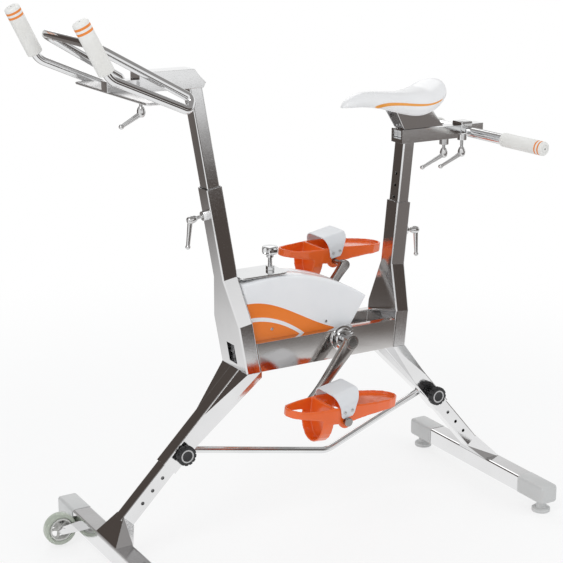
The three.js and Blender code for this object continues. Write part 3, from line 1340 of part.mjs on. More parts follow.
function saddleBody() {
  const length = saddle.tailX - saddle.noseX;
  const height = saddle.crown - saddle.skirt;
  const rings = saddleStationShares.map(([along, wide, crown, rim]) => {
    const low = saddle.skirt + rim * height;
    const high = saddle.skirt + crown * height;
    const x = saddle.noseX + along * length;
    const half = saddleSectionShares.map(([y, z]) => [x, y * wide * saddle.halfWidth, low + z * (high - low)]);
    const other = half.slice(0, -1).reverse().map(([px, py, pz]) => [px, -py, pz]);
    return [...half, ...other];
  });
  return loft(rings);
}

piece(bike, 'saddle', saddleBody(), 'white');

// Rear handle: a collar on the saddle slide with a bar to each side
const handleClamp = clampFrame([(collarFront + collarRear) / 2, 0, handle.bottom], [0, 0, -1], [-1, 0, 0]);
bike.add(handleClamp);
const handleWay = new THREE.Vector3(handleTipX - handleRootX, handle.tipY - handle.halfWidth,
  handle.tipZ - handle.rootZ).normalize();
const handleEnd = grip.wall + fit;

function rearHandle() {
  const root = [handleRootX - handleWay.x, handle.halfWidth - handleWay.y, handle.rootZ - handleWay.z];
  const tip = new THREE.Vector3(handleTipX, handle.tipY, handle.tipZ).addScaledVector(handleWay, -handleEnd);
  const sideBar = rod(root, tip.toArray(), handle.barRadius, { sides: facets.medium });
  const slideHalf = seat.slideWidth / 2 + fit;
  return cut(
    join(
      box([collarFront, collarRear], [-handle.halfWidth, handle.halfWidth],
        [handle.bottom, handle.top]),
      sideBar, mirrored(sideBar),
      clampBoss(handleClamp, clamp.bossRadius, clamp.smallBoss, bite),
    ),
    box([collarFront - overrun, collarRear + 4 * overrun], [-slideHalf, slideHalf],
      [seat.slideBottom - fit, seat.slideBottom + seat.slideHeight + fit]),
    clampBore(handleClamp, seat.slideBottom - handle.bottom + overrun, clamp.smallBoss),
  );
}

piece(bike, 'rear_handle', rearHandle(), 'polished');
piece(handleClamp, 'rear_handle_lever', clampLever(
  clamp.smallBoss, seat.slideBottom - handle.bottom - fit, levers.handle), 'polished');

const rearGripLength = (grip.rearEnd - grip.rearStart) / handleWay.y;
[['left', -1], ['right', 1]].forEach(([name, side]) => {
  const start = [handleTipX, side * handle.tipY, handle.tipZ];
  const way = [-handleWay.x, -side * handleWay.y, -handleWay.z];
  piece(bike, `rear_grip_${name}`, gripBody(start, way, grip.rearRadius, rearGripLength, handle.barRadius), 'white');
});

// The origin is the centre of the bike's box, on the floor.
bike.updateMatrixWorld(true);
const bounds = new THREE.Box3().setFromObject(bike, true);
bike.position.x = -(bounds.min.x + bounds.max.x) / 2;
bike.updateMatrixWorld(true);

export default bike;
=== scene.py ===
"""Looks of an aqua bike: a polished steel cycle frame on two crossbar stands, pedalled in a pool."""
import math

import bpy
import numpy as np
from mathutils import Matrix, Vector


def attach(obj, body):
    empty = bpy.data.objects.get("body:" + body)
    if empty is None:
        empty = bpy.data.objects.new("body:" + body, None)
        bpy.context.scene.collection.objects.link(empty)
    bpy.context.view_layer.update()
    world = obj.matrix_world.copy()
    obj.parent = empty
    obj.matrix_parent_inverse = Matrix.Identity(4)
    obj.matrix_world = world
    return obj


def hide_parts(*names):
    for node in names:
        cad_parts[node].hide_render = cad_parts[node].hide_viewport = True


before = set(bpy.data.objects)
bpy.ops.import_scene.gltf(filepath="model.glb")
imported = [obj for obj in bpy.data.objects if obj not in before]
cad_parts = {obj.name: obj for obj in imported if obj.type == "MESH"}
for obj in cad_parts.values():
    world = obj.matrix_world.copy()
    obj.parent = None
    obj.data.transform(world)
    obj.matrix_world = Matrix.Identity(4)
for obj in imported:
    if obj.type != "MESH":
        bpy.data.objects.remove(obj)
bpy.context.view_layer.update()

# Studio. The bike stands on a pale floor that runs on to white on all sides, under a soft sky and
# three soft lamps. Only mirrored rays see the hall round it: dark floor in a strip before the bike and
# all over behind it, a dark wall beyond the handlebar, a dark doorway and a grey ceiling.


class Signal:
    """A socket of a shader: sums, products and quotients written on it become Math nodes."""

    def __init__(self, tree, socket):
        self.tree = tree
        self.socket = socket

    def math(self, operation, *others, clamp=False):
        settings = {"operation": operation, "use_clamp": clamp}
        return add_node(self.tree, "ShaderNodeMath", settings, dict(enumerate((self, *others))))

    def __add__(self, other):
        return self.math("ADD", other)

    __radd__ = __add__

    def __sub__(self, other):
        return self.math("SUBTRACT", other)

    def __rsub__(self, other):
        settings = {"operation": "SUBTRACT"}
        return add_node(self.tree, "ShaderNodeMath", settings, {0: other, 1: self})

    def __mul__(self, other):
        return self.math("MULTIPLY", other)

    __rmul__ = __mul__

    def __truediv__(self, other):
        return self.math("DIVIDE", other)

    def step(self, low, high):
        """0 below low and 1 above high, with a smooth ramp between them."""
        inputs = {0: self, 1: low, 2: high}
        return add_node(self.tree, "ShaderNodeMapRange", {"interpolation_type": "SMOOTHSTEP"}, inputs)

    def mix(self, first, second):
        """The first colour where this is 0 and the second where it is 1."""
        inputs = {0: self, 6: first, 7: second}
        return add_node(self.tree, "ShaderNodeMix", {"data_type": "RGBA"}, inputs, output=2)


def add_node(tree, kind, settings=None, inputs=None, output=0):
    """Adds a node, sets it up, feeds its sockets with numbers, colours or signals, and gives an output."""
    node = tree.nodes.new(kind)
    for name, value in (settings or {}).items():
        setattr(node, name, value)
    for name, value in (inputs or {}).items():
        if isinstance(value, Signal):
            tree.links.new(value.socket, node.inputs[name])
        else:
            socket = node.inputs[name]
            wide = getattr(socket, "type", "") == "RGBA" and len(value) == 3
            socket.default_value = (*value, 1) if wide else value
    return Signal(tree, node.outputs[output])


def dotted(tree, vector, way):
    """How far a vector reaches along a way."""
    return add_node(tree, "ShaderNodeVectorMath", {"operation": "DOT_PRODUCT"}, {0: vector, 1: way}, output=1)


def coordinate(tree, vector, index):
    """One of a vector's three coordinates."""
    return add_node(tree, "ShaderNodeSeparateXYZ", None, {0: vector}, output=index)


def grid_faces(rows, columns, wrap):
    """Quads between the neighbouring points of a grid, whose last column may meet its first."""
    row = np.arange(rows - 1)[:, None]
    column = np.arange(columns if wrap else columns - 1)[None, :]
    after = (column + 1) % columns
    corners = (row * columns + column, row * columns + after,
               (row + 1) * columns + after, (row + 1) * columns + column)
    return np.stack(corners, axis=-1).reshape(-1, 4)


def mesh_object(name, points, faces, material):
    """A smooth-shaded mesh object, at the origin, with its place in its points."""
    mesh = bpy.data.meshes.new(name)
    mesh.from_pydata(np.asarray(points).tolist(), [], [list(face) for face in faces])
    mesh.polygons.foreach_set("use_smooth", np.ones(len(mesh.polygons), bool))
    mesh.materials.append(material)
    obj = bpy.data.objects.new(name, mesh)
    bpy.context.scene.collection.objects.link(obj)
    return obj


dark_hall = (0.085, 0.07, 0.062)
grey_hall = (0.21, 0.19, 0.18)
pale = (1.0, 1.0, 1.0)


def ray_kind(tree, name):
    """1 for the rays that the name gives, such as those that the camera or a mirror sends out."""
    return Signal(tree, tree.nodes.new("ShaderNodeLightPath").outputs[name])


floor_material = bpy.data.materials.new("studio_floor")
floor_material.use_nodes = True
tree = floor_material.node_tree
tree.nodes.clear()
where = add_node(tree, "ShaderNodeNewGeometry")
near_edge = dotted(tree, where, (0.35, -0.94, 0)).step(1.15, 1.65)
far_edge = dotted(tree, where, (-0.3, -1, 0)).step(2.9, 6.0)
strip = near_edge * (1 - far_edge)
behind = coordinate(tree, where, 1).step(0.3, 2.3)
rearwards = dotted(tree, where, (1, 0.58, 0)).step(-0.3, 0.7)
seen = strip.math("MAXIMUM", behind).mix(pale, rearwards.mix(dark_hall, grey_hall))
away = add_node(tree, "ShaderNodeVectorMath", {"operation": "LENGTH"}, {0: where}, output=1).step(0.9, 2.4)
lit = add_node(tree, "ShaderNodeBsdfDiffuse", None, {"Color": (0.9, 0.9, 0.9)})
white = add_node(tree, "ShaderNodeEmission", None, {"Color": (1, 1, 1), "Strength": 1.0})
soft = add_node(tree, "ShaderNodeMixShader", None, {0: 0.72 + 0.28 * away, 1: lit, 2: white})
mirror = add_node(tree, "ShaderNodeEmission", None, {"Color": seen, "Strength": 1.0})
to_camera = add_node(tree, "ShaderNodeMixShader", None, {0: ray_kind(tree, "Is Camera Ray"), 1: lit, 2: soft})
whole = add_node(tree, "ShaderNodeMixShader", None,
                 {0: ray_kind(tree, "Is Glossy Ray"), 1: to_camera, 2: mirror})
tree.links.new(whole.socket, tree.nodes.new("ShaderNodeOutputMaterial").inputs["Surface"])

reach = np.linspace(-9, 9, 7)
across, deep = np.meshgrid(reach, reach)
floor_points = np.stack([across, deep, np.full_like(across, -0.0006)], axis=-1).reshape(-1, 3)
floor = mesh_object("studio_floor", floor_points, grid_faces(7, 7, False), floor_material)

world = bpy.data.worlds.new("studio_sky")
bpy.context.scene.world = world
world.use_nodes = True
tree = world.node_tree
tree.nodes.clear()
heading = add_node(tree, "ShaderNodeTexCoord")
wall = dotted(tree, heading, (-0.565, 0.807, 0.174)).step(0.7, 0.93)
doorway = dotted(tree, heading, (0.736, -0.663, 0.139)).step(0.9, 0.97)
ceiling = coordinate(tree, heading, 2).step(0.3, 0.5) * 0.72
mirrored = ray_kind(tree, "Is Glossy Ray")
shade = wall.math("MAXIMUM", doorway).math("MAXIMUM", ceiling)
seen = mirrored.mix(pale, shade.mix(pale, dark_hall))
sky = (ray_kind(tree, "Is Camera Ray") + mirrored).mix((0.74, 0.75, 0.76), seen)
background = add_node(tree, "ShaderNodeBackground", None, {"Color": sky, "Strength": 1.0})
tree.links.new(background.socket, tree.nodes.new("ShaderNodeOutputWorld").inputs["Surface"])


def soft_lamp(name, place, aim, size, power):
    """A square area lamp at a place, turned to an aim."""
    lamp = bpy.data.lights.new(name, "AREA")
    lamp.size = size
    lamp.energy = power
    obj = bpy.data.objects.new(name, lamp)
    obj.location = place
    obj.rotation_euler = (Vector(aim) - Vector(place)).to_track_quat("-Z", "Y").to_euler()
    bpy.context.scene.collection.objects.link(obj)
    return obj


soft_lamp("key_lamp", (-2.2, -1.6, 3.2), (0, 0, 0.6), 1.6, 27)
soft_lamp("fill_lamp", (2.4, -2.0, 2.2), (0, 0, 0.6), 2.0, 12).visible_glossy = False
soft_lamp("back_lamp", (0.8, 2.6, 2.8), (0, 0, 0.6), 1.8, 13)

camera = bpy.data.objects.new("camera", bpy.data.cameras.new("camera"))
bpy.context.scene.collection.objects.link(camera)
camera.data.sensor_width = 36
camera.data.lens = 93.84
camera.data.clip_end = 60
view_target = Vector((-0.02791, 0, 0.605))
azimuth = math.radians(-30.31)
elevation = math.radians(15.65)
towards = Vector((math.sin(azimuth) * math.cos(elevation), -math.cos(azimuth) * math.cos(elevation),
                  math.sin(elevation)))
camera.location = view_target + 3.3456 * towards
camera.rotation_euler = (-towards).to_track_quat("-Z", "Y").to_euler()
bpy.context.scene.camera = camera
bpy.context.scene.view_settings.view_transform = "Standard"

# Frame. Two leaning columns of folded stainless sheet, two side rails and two leg tubes, welded and
# polished. A bent round rod braces the legs, and black plastic bushes line the tops of the columns.


def new_material(name):
    """An empty material with a Principled shader; gives its tree, its shader and object coordinates."""
    material = bpy.data.materials.new(name)
    material.use_nodes = True
    tree = material.node_tree
    coordinates = tree.nodes.new("ShaderNodeTexCoord")
    return material, tree, tree.nodes["Principled BSDF"], Signal(tree, coordinates.outputs["Object"])


def noise(tree, vector, scale, detail=3.0, stretch=(1, 1, 1)):
    """Cloudy noise from 0 to 1; the stretch draws it out along an axis into grain."""
    if stretch != (1, 1, 1):
        vector = add_node(tree, "ShaderNodeMapping", None, {"Vector": vector, "Scale": stretch})
    return add_node(tree, "ShaderNodeTexNoise", None, {"Vector": vector, "Scale": scale, "Detail": detail})


def bumped(tree, shader, height, strength, distance):
    """Raises the surface by a height signal."""
    bump = add_node(tree, "ShaderNodeBump", None,
                    {"Height": height, "Strength": strength, "Distance": distance})
    tree.links.new(bump.socket, shader.inputs["Normal"])


def feed(tree, shader, **signals):
    """Links signals to the shader's sockets of their names."""
    for name, value in signals.items():
        tree.links.new(value.socket, shader.inputs[name.replace("_", " ")])


def steel(name, tone, roughness, grain=0.03, stretch=(1, 1, 12)):
    """Polished stainless steel: fine grain left by the wheel, faint clouds where water has dried."""
    material, tree, shader, point = new_material(name)
    clouds = noise(tree, point, 7, 4)
    lines = noise(tree, point, 160, 2, stretch)
    warm = tuple(0.93 * c for c in tone)
    feed(tree, shader,
         Base_Color=clouds.step(0.3, 0.75).mix(tone, warm),
         Roughness=roughness + 0.03 * clouds + grain * lines)
    shader.inputs["Metallic"].default_value = 1.0
    bumped(tree, shader, 0.7 * lines + 6.0 * noise(tree, point, 9, 1), 0.12, 0.0004)
    return material


def eased(obj, edge, segments, degrees):
    """Rounds the edges that bend by more than an angle."""
    ease = obj.modifiers.new("ease", "BEVEL")
    ease.width = edge
    ease.segments = segments
    ease.limit_method = "ANGLE"
    ease.angle_limit = math.radians(degrees)
    return ease


def dress(node, material, edge=0.0008):
    """Gives a CAD node its finish: its triangles are welded, its edges are eased by a small round, and
    its large faces set the normals, so that a flat wall mirrors flat beside a round corner."""
    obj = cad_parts[node]
    obj.data.materials.clear()
    obj.data.materials.append(material)
    obj.data.polygons.foreach_set("use_smooth", np.ones(len(obj.data.polygons), bool))
    weld = obj.modifiers.new("weld", "WELD")
    weld.merge_threshold = 0.00002
    eased(obj, edge, 2, 16)
    even = obj.modifiers.new("even", "WEIGHTED_NORMAL")
    even.weight = 100


middle_x = 27.912353515625


def metres(points):
    """Points of the drawing, in millimetres, to metres about the bike's middle."""
    return (np.asarray(points, float) - (middle_x, 0, 0)) / 1000


def rounded_path(corners, radii, steps=14):
    """A polyline through corners, each replaced by an arc of its radius that touches both its sides."""
    corners = [np.asarray(corner, float) for corner in corners]
    runs = [corners[0][None, :]]
    for i, radius in enumerate(radii, start=1):
        back = corners[i - 1] - corners[i]
        on = corners[i + 1] - corners[i]
        back, on = back / np.linalg.norm(back), on / np.linalg.norm(on)
        half = math.acos(np.clip(back @ on, -1, 1)) / 2
        middle = (back + on) / np.linalg.norm(back + on)
        centre = corners[i] + middle * radius / math.sin(half)
        first = corners[i] + back * radius / math.tan(half) - centre
        last = corners[i] + on * radius / math.tan(half) - centre
        sweep = math.pi - 2 * half
        t = np.linspace(0, 1, steps)[:, None]
        arc = (np.sin((1 - t) * sweep) * first + np.sin(t * sweep) * last) / math.sin(sweep)
        runs.append(centre + arc)
    runs.append(corners[-1][None, :])
    return np.concatenate(runs)


def swept(path, radius, sides=40, flat=1.0):
    """A ring of points carried along a path, square to it; the radius may change on the way.

    Each station's frame is the one before it, turned with the path, so that the ring never twists.
    """
    path = np.asarray(path, float)
    along = np.gradient(path, axis=0)
    along /= np.linalg.norm(along, axis=1)[:, None]
    side = np.cross(along[0], (0, 1, 0))
    sides_of = [side / np.linalg.norm(side)]
    for way in along[1:]:
        side = sides_of[-1] - way * (sides_of[-1] @ way)
        sides_of.append(side / np.linalg.norm(side))
    side = np.array(sides_of)
    up = np.cross(along, side)
    angle = np.linspace(0, 2 * np.pi, sides, endpoint=False)
    radius = np.broadcast_to(np.asarray(radius, float), len(path))[:, None, None]
    ring = (np.cos(angle)[None, :, None] * side[:, None, :]
            + flat * np.sin(angle)[None, :, None] * up[:, None, :])
    return path[:, None, :] + radius * ring


def capped(points):
    """A closed shell: a grid of rings whose first and last ring are closed by a fan to their middle."""
    rows, columns = points.shape[:2]
    faces = [list(face) for face in grid_faces(rows, columns, True)]
    flat = points.reshape(-1, 3)
    flat = np.concatenate([flat, points[0].mean(axis=0)[None, :], points[-1].mean(axis=0)[None, :]])
    ring = np.arange(columns)
    after = (ring + 1) % columns
    first = np.stack([np.full(columns, rows * columns), after, ring], axis=-1)
    end = (rows - 1) * columns
    last = np.stack([np.full(columns, rows * columns + 1), end + ring, end + after], axis=-1)
    return outwards(flat, faces + first.tolist() + last.tolist())


def ringed(points):
    """A closed ring: a grid that meets itself both ways, such as a tyre or a tube's wall."""
    rows, columns = points.shape[:2]
    closed = np.concatenate([points, points[:1]])
    faces = grid_faces(rows + 1, columns, True) % (rows * columns)
    return outwards(closed[:rows].reshape(-1, 3), faces.tolist())


def outwards(points, faces):
    """Turns a closed shell's faces outwards, by the sign of its volume."""
    fans = [(face[0], face[i], face[i + 1]) for face in faces for i in range(1, len(face) - 1)]
    a, b, c = (points[np.array(fans)[:, k]] for k in range(3))
    if np.einsum("ij,ij->i", a, np.cross(b, c)).sum() < 0:
        faces = [face[::-1] for face in faces]
    return points, faces


def piece(name, shells, material, body, nodes=(), edge=None, sharp=35):
    """Joins closed shells, given in millimetres, into one object that rides on a body."""
    points, faces, count = [], [], 0
    for shell_points, shell_faces in shells:
        points.append(shell_points)
        faces += [[i + count for i in face] for face in shell_faces]
        count += len(shell_points)
    obj = mesh_object(name, metres(np.concatenate(points)), faces, material)
    obj.data.set_sharp_from_angle(angle=math.radians(sharp))
    if edge:
        eased(obj, edge, 3, sharp).harden_normals = True
    if nodes:
        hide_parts(*nodes)
    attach(obj, body)


satin = steel("satin_steel", (0.78, 0.78, 0.785), 0.06, 0.02)
polished = steel("polished_steel", (0.78, 0.785, 0.79), 0.045, 0.015)
dark = steel("rail_steel", (0.72, 0.705, 0.695), 0.06, 0.02, (12, 1, 1))
for node in ("front_column", "rear_column", "front_leg_tube", "rear_leg_tube"):
    dress(node, satin)
for node in ("left_rail", "right_rail"):
    dress(node, dark)

brace_path = rounded_path([(-254, 0, 246.3), (125, 0, 167), (394, 0, 270.1)], [60], 24)
brace_bar = swept(brace_path, 8)
# The bar's rear end is cut along the face of the leg, 1 mm inside it.
end_way = brace_path[-1] - brace_path[-2]
leg_face = np.array((-0.7615, 0, -0.648))
short_of = 19 - (brace_bar[-1] - (289, 0, 418)) @ leg_face
brace_bar[-1] += (short_of / (end_way @ leg_face))[:, None] * end_way
piece("brace_bar", [capped(brace_bar)], polished, "frame", ["brace_rod"])


def plastic(name, colour, roughness, texture=900, height=0.25, coat=0.0, mottle=0.96):
    """Moulded plastic: an even colour with a faint cloud in it, and a fine skin from the mould."""
    material, tree, shader, point = new_material(name)
    cloud = noise(tree, point, 14, 3)
    skin = noise(tree, point, texture, 2)
    shade = tuple(mottle * c for c in colour)
    feed(tree, shader,
         Base_Color=cloud.step(0.3, 0.8).mix(colour, shade),
         Roughness=roughness + 0.08 * (cloud - 0.5) + 0.05 * (skin - 0.5))
    shader.inputs["Coat Weight"].default_value = coat
    shader.inputs["Coat Roughness"].default_value = 0.06
    bumped(tree, shader, skin, height, 0.0002)
    return material


black = plastic("black_plastic", (0.016, 0.016, 0.018), 0.5)
for node in ("front_post_bush", "rear_post_bush"):
    dress(node, black, 0.0005)

# Stands. Each is a polished steel tube across the bike's end, welded to a flared foot on a square leg
# that slides in the frame's leg. Grey moulded caps close the tube and carry screwed rubber feet.


def lathe(profile, start, direction, sides=56):
    """A profile of (radius, height) points turned round an axis."""
    profile = np.asarray(profile, float)
    way = np.asarray(direction, float) / np.linalg.norm(direction)
    side = np.cross(way, (0.31, 0.52, 0.8))
    side /= np.linalg.norm(side)
    up = np.cross(way, side)
    angle = np.linspace(0, 2 * np.pi, sides, endpoint=False)
    ring = np.cos(angle)[:, None] * side + np.sin(angle)[:, None] * up
    return (np.asarray(start, float) + profile[:, 1, None, None] * way
            + profile[:, 0, None, None] * ring[None, :, :])


def rounded_rectangle(width, height, radius, steps=8):
    """A closed ring of points round a rectangle with round corners, centred on nothing."""
    angle = (np.arange(4)[:, None] + np.linspace(0, 1, steps)[None, :]) * np.pi / 2
    signs = np.array([(1, 1), (-1, 1), (-1, -1), (1, -1)])[:, None, :]
    corner = signs * (width / 2 - radius, height / 2 - radius)
    return (corner + radius * np.stack([np.cos(angle), np.sin(angle)], axis=-1)).reshape(-1, 2)


for node in ("front_stand", "rear_stand"):
    dress(node, satin)

cap_plastic = plastic("grey_cap_plastic", (0.6, 0.605, 0.6), 0.34, 500, 0.15, 0.2)
foot_rubber = plastic("grey_foot_rubber", (0.66, 0.665, 0.66), 0.5, 700, 0.35)
bar_middle = 50.5
hands = (("left", -1), ("right", 1))
for end, bar_x in (("front", -434), ("rear", 591)):
    for side, sign in hands:
        stations = [(182, 0.6), (182.8, 0), (268, 0), (270.5, 0.5), (273, 1.6), (275.2, 3.2), (276.4, 4.8),
                    (277, 6.6)]
        rings = []
        for place, inset in stations:
            ring = rounded_rectangle(48.6 - 2 * inset, 45.6 - 2 * inset, 7.5 - 0.4 * inset)
            rings.append(np.stack([bar_x + ring[:, 0], np.full(len(ring), sign * place),
                                   bar_middle + ring[:, 1]], axis=-1))
        piece(f"{end}_{side}_end_cap", [capped(np.array(rings))], cap_plastic, f"{end}_stand_body",
              [f"{end}_cap_{side}"])
        sole = lathe([(21, 0), (22.5, 1.2), (22.5, 8.2), (21, 9.4), (13, 10.6), (12, 12), (12, 27.2)],
                     (bar_x, sign * 246, 0), (0, 0, 1))
        stud = lathe([(5, 27), (5, 46)], (bar_x, sign * 246, 0), (0, 0, 1), 24)
        piece(f"{end}_{side}_rubber_foot", [capped(sole), capped(stud)], foot_rubber,
              f"{end}_{side}_foot", [f"{end}_foot_{side}"])

# Transport wheels. A soft see-through tyre is pressed on a white moulded hub with five spokes,
# which turns on an axle between two steel ears welded to the front stand.
tyre_material, tree, shader, point = new_material("clear_green_tyre")
cloud = noise(tree, point, 30, 3)
feed(tree, shader, Base_Color=cloud.step(0.3, 0.75).mix((0.6, 0.65, 0.56), (0.68, 0.72, 0.64)),
     Roughness=0.26 + 0.1 * cloud)
shader.inputs["Transmission Weight"].default_value = 0.35
shader.inputs["IOR"].default_value = 1.4
bumped(tree, shader, noise(tree, point, 400, 2), 0.15, 0.0003)
# The hub's plastic is white; its colour is set down to grey, painted shade that stands in for the shade among
# its spokes.
painted_shade_hub_plastic = plastic("white_hub_plastic_with_painted_shade", (0.6, 0.6, 0.58), 0.35, 600, 0.15, 0.3)

axle_x, axle_z, wheel_y = -497, 43, 165
for side, sign in hands:
    centre = (axle_x, sign * wheel_y, axle_z)
    around = np.linspace(0, 2 * np.pi, 33)[:-1]
    tread = 27.8 + 5.1 + 5.1 * np.sign(np.cos(around)) * np.abs(np.cos(around)) ** 0.7
    width = 12 * np.sign(np.sin(around)) * np.abs(np.sin(around)) ** 0.55
    tyre = lathe(np.stack([tread, width], axis=-1), centre, (0, 1, 0), 72)
    piece(f"{side}_tyre", [ringed(tyre)], tyre_material, f"{side}_wheel",
          [f"wheel_tyre_{side}"], sharp=60)
    rim = lathe([(27.5, -9), (27.5, 9), (26.7, 10), (23.8, 10), (23, 9.2), (23, -9.2), (23.8, -10),
                 (26.7, -10)], centre, (0, 1, 0))
    boss = lathe([(5.3, -12), (9, -12), (9.5, -11.5), (9.5, 11.5), (9, 12), (5.3, 12)], centre, (0, 1, 0), 40)
    spokes = []
    for k in range(5):
        turn = 2 * math.pi * (k + 0.5) / 5
        way = np.array([math.cos(turn), 0, math.sin(turn)])
        path = np.array(centre) + np.linspace(8.6, 24.2, 8)[:, None] * way
        wide = np.array([4.6, 4.0, 3.5, 3.2, 3.2, 3.5, 4.2, 5.2])
        spokes.append(capped(swept(path, wide, 24, 0.75)))
    piece(f"{side}_hub", [ringed(rim), ringed(boss), *spokes], painted_shade_hub_plastic, f"{side}_wheel",
          [f"wheel_hub_{side}"])

# Locking pins. A fluted black plastic knob with a grey ring in its face holds a pin that locks a leg
# of the stands in one of its holes.
knob_material, tree, shader, point = new_material("black_knob_plastic")
cloud = noise(tree, point, 60, 3)
feed(tree, shader, Base_Color=cloud.step(0.3, 0.7).mix((0.014, 0.014, 0.016), (0.024, 0.024, 0.026)),
     Roughness=0.42 + 0.12 * cloud)
bumped(tree, shader, noise(tree, point, 700, 2), 0.3, 0.0003)
ring_material = plastic("silver_ring_paint", (0.5, 0.5, 0.5), 0.35)


def fluted(profile, start, direction, flutes, depth, sides=192):
    """A turned knob whose radius dips in round flutes, deepest on its rim."""
    points = lathe(profile, (0, 0, 0), (0, 0, 1), sides)
    radius = np.hypot(points[..., 0], points[..., 1])
    angle = np.arctan2(points[..., 1], points[..., 0])
    wave = np.clip(np.cos(flutes * angle) * 1.6 - 0.6, 0, 1)
    share = np.clip((radius / radius.max() - 0.72) / 0.2, 0, 1)
    points[..., :2] *= (1 - depth * wave * share / np.maximum(radius, 1))[..., None]
    way = np.asarray(direction, float)
    side = np.cross(way, (0.31, 0.52, 0.8))
    side /= np.linalg.norm(side)
    basis = np.stack([side, np.cross(way, side), way])
    return points @ basis + np.asarray(start, float)


def on_leg(x, z, degrees, along):
    """A point of a leg's middle line, in the drawing, at a distance down from the leg's start."""
    turn = math.radians(degrees)
    return x + along * math.sin(turn), z + along * math.cos(turn)


for end, place in (("front", on_leg(-94.5, 421, -135, 245.5)), ("rear", on_leg(289, 418, 139.6, 205))):
    start = (place[0], -30.3, place[1])
    face = [(22, 0), (23, 1), (23, 11.4), (22.4, 12.8), (21, 13.8), (19.5, 14), (17, 14), (16.2, 13.2),
            (9.4, 13.2), (9, 13)]
    knob_shell = capped(fluted(face, start, (0, -1, 0), 12, 2.4))
    shaft = capped(lathe([(5, -12.8), (5, 0.5)], start, (0, -1, 0), 28))
    piece(f"{end}_pin_head", [knob_shell, shaft], knob_material, f"{end}_pin",
          [f"{end}_pin_knob"])
    band = lathe([(12.2, 13.1), (15.4, 13.1), (15.4, 13.5), (12.2, 13.5)], start, (0, -1, 0), 72)
    piece(f"{end}_pin_ring", [ringed(band)], ring_material, f"{end}_pin")

# Drive. Two flanged bearings bolted to the rails carry the crank axle, whose pulley turns a brake
# drum through a belt; a black pad presses on the drum. All but the bearings is under the cover.
crank_x, crank_z, crank_length = 128, 466, 162
inner_rubber = plastic("black_belt_rubber", (0.02, 0.02, 0.02), 0.6, 600, 0.4)
for node in ("drive_pulley", "brake_drum", "brake_carrier", "crank_axle"):
    dress(node, satin, 0.0004)
for node in ("belt", "brake_pad"):
    dress(node, inner_rubber, 0.0003)
for side, sign in hands:
    base = (crank_x, sign * 60.3, crank_z)
    way = (0, sign, 0)
    flange = lathe([(18, -12), (18, 0), (30.4, 0), (31, 0.6), (31, 3.2), (30.2, 4), (21, 4), (20, 4.6),
                    (19.6, 8.4), (19, 9), (10.2, 9), (10.0, 8.6), (10.0, -12)], base, way, 96)
    shells = [ringed(flange)]
    for k in range(3):
        turn = math.radians(30 + 120 * k)
        head = np.array(base) + (24.5 * math.cos(turn), 0, 24.5 * math.sin(turn))
        shells.append(capped(lathe([(4.2, 3.5), (4.2, 6), (3.7, 6.8), (2.2, 7)], head, way, 30)))
    piece(f"{side}_bearing_flange", shells, polished, "frame", [f"bearing_{side}"])

# Cover. Two halves of white moulded plastic meet on the bike's middle plane and hide the belt and
# the brake. Their sides carry a broad orange band and a thin white stripe, and two small screws.


front_foot_x, front_foot_z, front_lean = -106, 421, -10
half_column = 19


def column_front(height, gap):
    """X of the front column's rear face at a height, with the cover's running gap."""
    turn = math.radians(front_lean)
    along = (height - front_foot_z + half_column * math.sin(turn)) / math.cos(turn)
    return front_foot_x + half_column * math.cos(turn) + along * math.sin(turn) + 0.6 + gap


def cover_outline(inset):
    """One half's outline, drawn in by an inset: top arc, rear edge, bulge at the bearing, foot, front."""
    radius, bulge = 434 - inset, 44 - inset
    rear_x = 207 - inset
    top_front = column_front(625, inset)
    x = np.linspace(top_front, rear_x, 90)
    top = np.stack([x, 197 + np.sqrt(radius ** 2 - (x + 44) ** 2)], axis=-1)
    turn = np.linspace(math.asin(22 / 44), math.asin(-28 / bulge), 36)
    rear = np.stack([crank_x + bulge * np.cos(turn), crank_z + bulge * np.sin(turn)], axis=-1)
    share = np.linspace(0, 1, 60)[1:-1, None]
    edge = (1 - share) * top[-1] + share * rear[0]
    foot_front = np.array([column_front(438, inset), 438])
    foot = (1 - share) * rear[-1] + share * foot_front
    front = (1 - share) * foot_front + share * top[0]
    return np.concatenate([top, edge, rear, foot, foot_front[None, :], front])


def curve_height(x, points):
    """Height of a cubic through drawing points (x, z) in millimetres, as a signal over x in metres."""
    places = metres([(px, 0, pz) for px, pz in points])
    cubic = np.polyfit(places[:, 0], places[:, 2], len(points) - 1)
    height = float(cubic[0])
    for factor in cubic[1:]:
        height = x * height + float(factor)
    return height


cover_paint, tree, shader, point = new_material("white_cover_plastic")
x, z = coordinate(tree, point, 0), coordinate(tree, point, 2)
band_top = curve_height(x, [(-106, 577), (-47, 566), (7, 542), (118, 489)])
stripe = curve_height(x, [(-96, 538), (-36, 526), (27, 491)])
soft_edge = 0.0004
in_band = (band_top - z).step(-soft_edge, soft_edge) * (0.118 - 0.0279 - x).step(-soft_edge, soft_edge)
in_stripe = (z - stripe).math("ABSOLUTE").step(0.0047 - soft_edge, 0.0047 + soft_edge)
cloud = noise(tree, point, 9, 3)
orange = cloud.step(0.3, 0.75).mix((0.84, 0.2, 0.02), (0.9, 0.235, 0.03))
white = cloud.step(0.3, 0.75).mix((0.83, 0.845, 0.865), (0.87, 0.88, 0.895))
feed(tree, shader, Base_Color=(in_band * in_stripe).mix(white, orange), Roughness=0.2 + 0.1 * cloud)
shader.inputs["Coat Weight"].default_value = 0.5
shader.inputs["Coat Roughness"].default_value = 0.05
bumped(tree, shader, noise(tree, point, 6, 2), 0.08, 0.002)

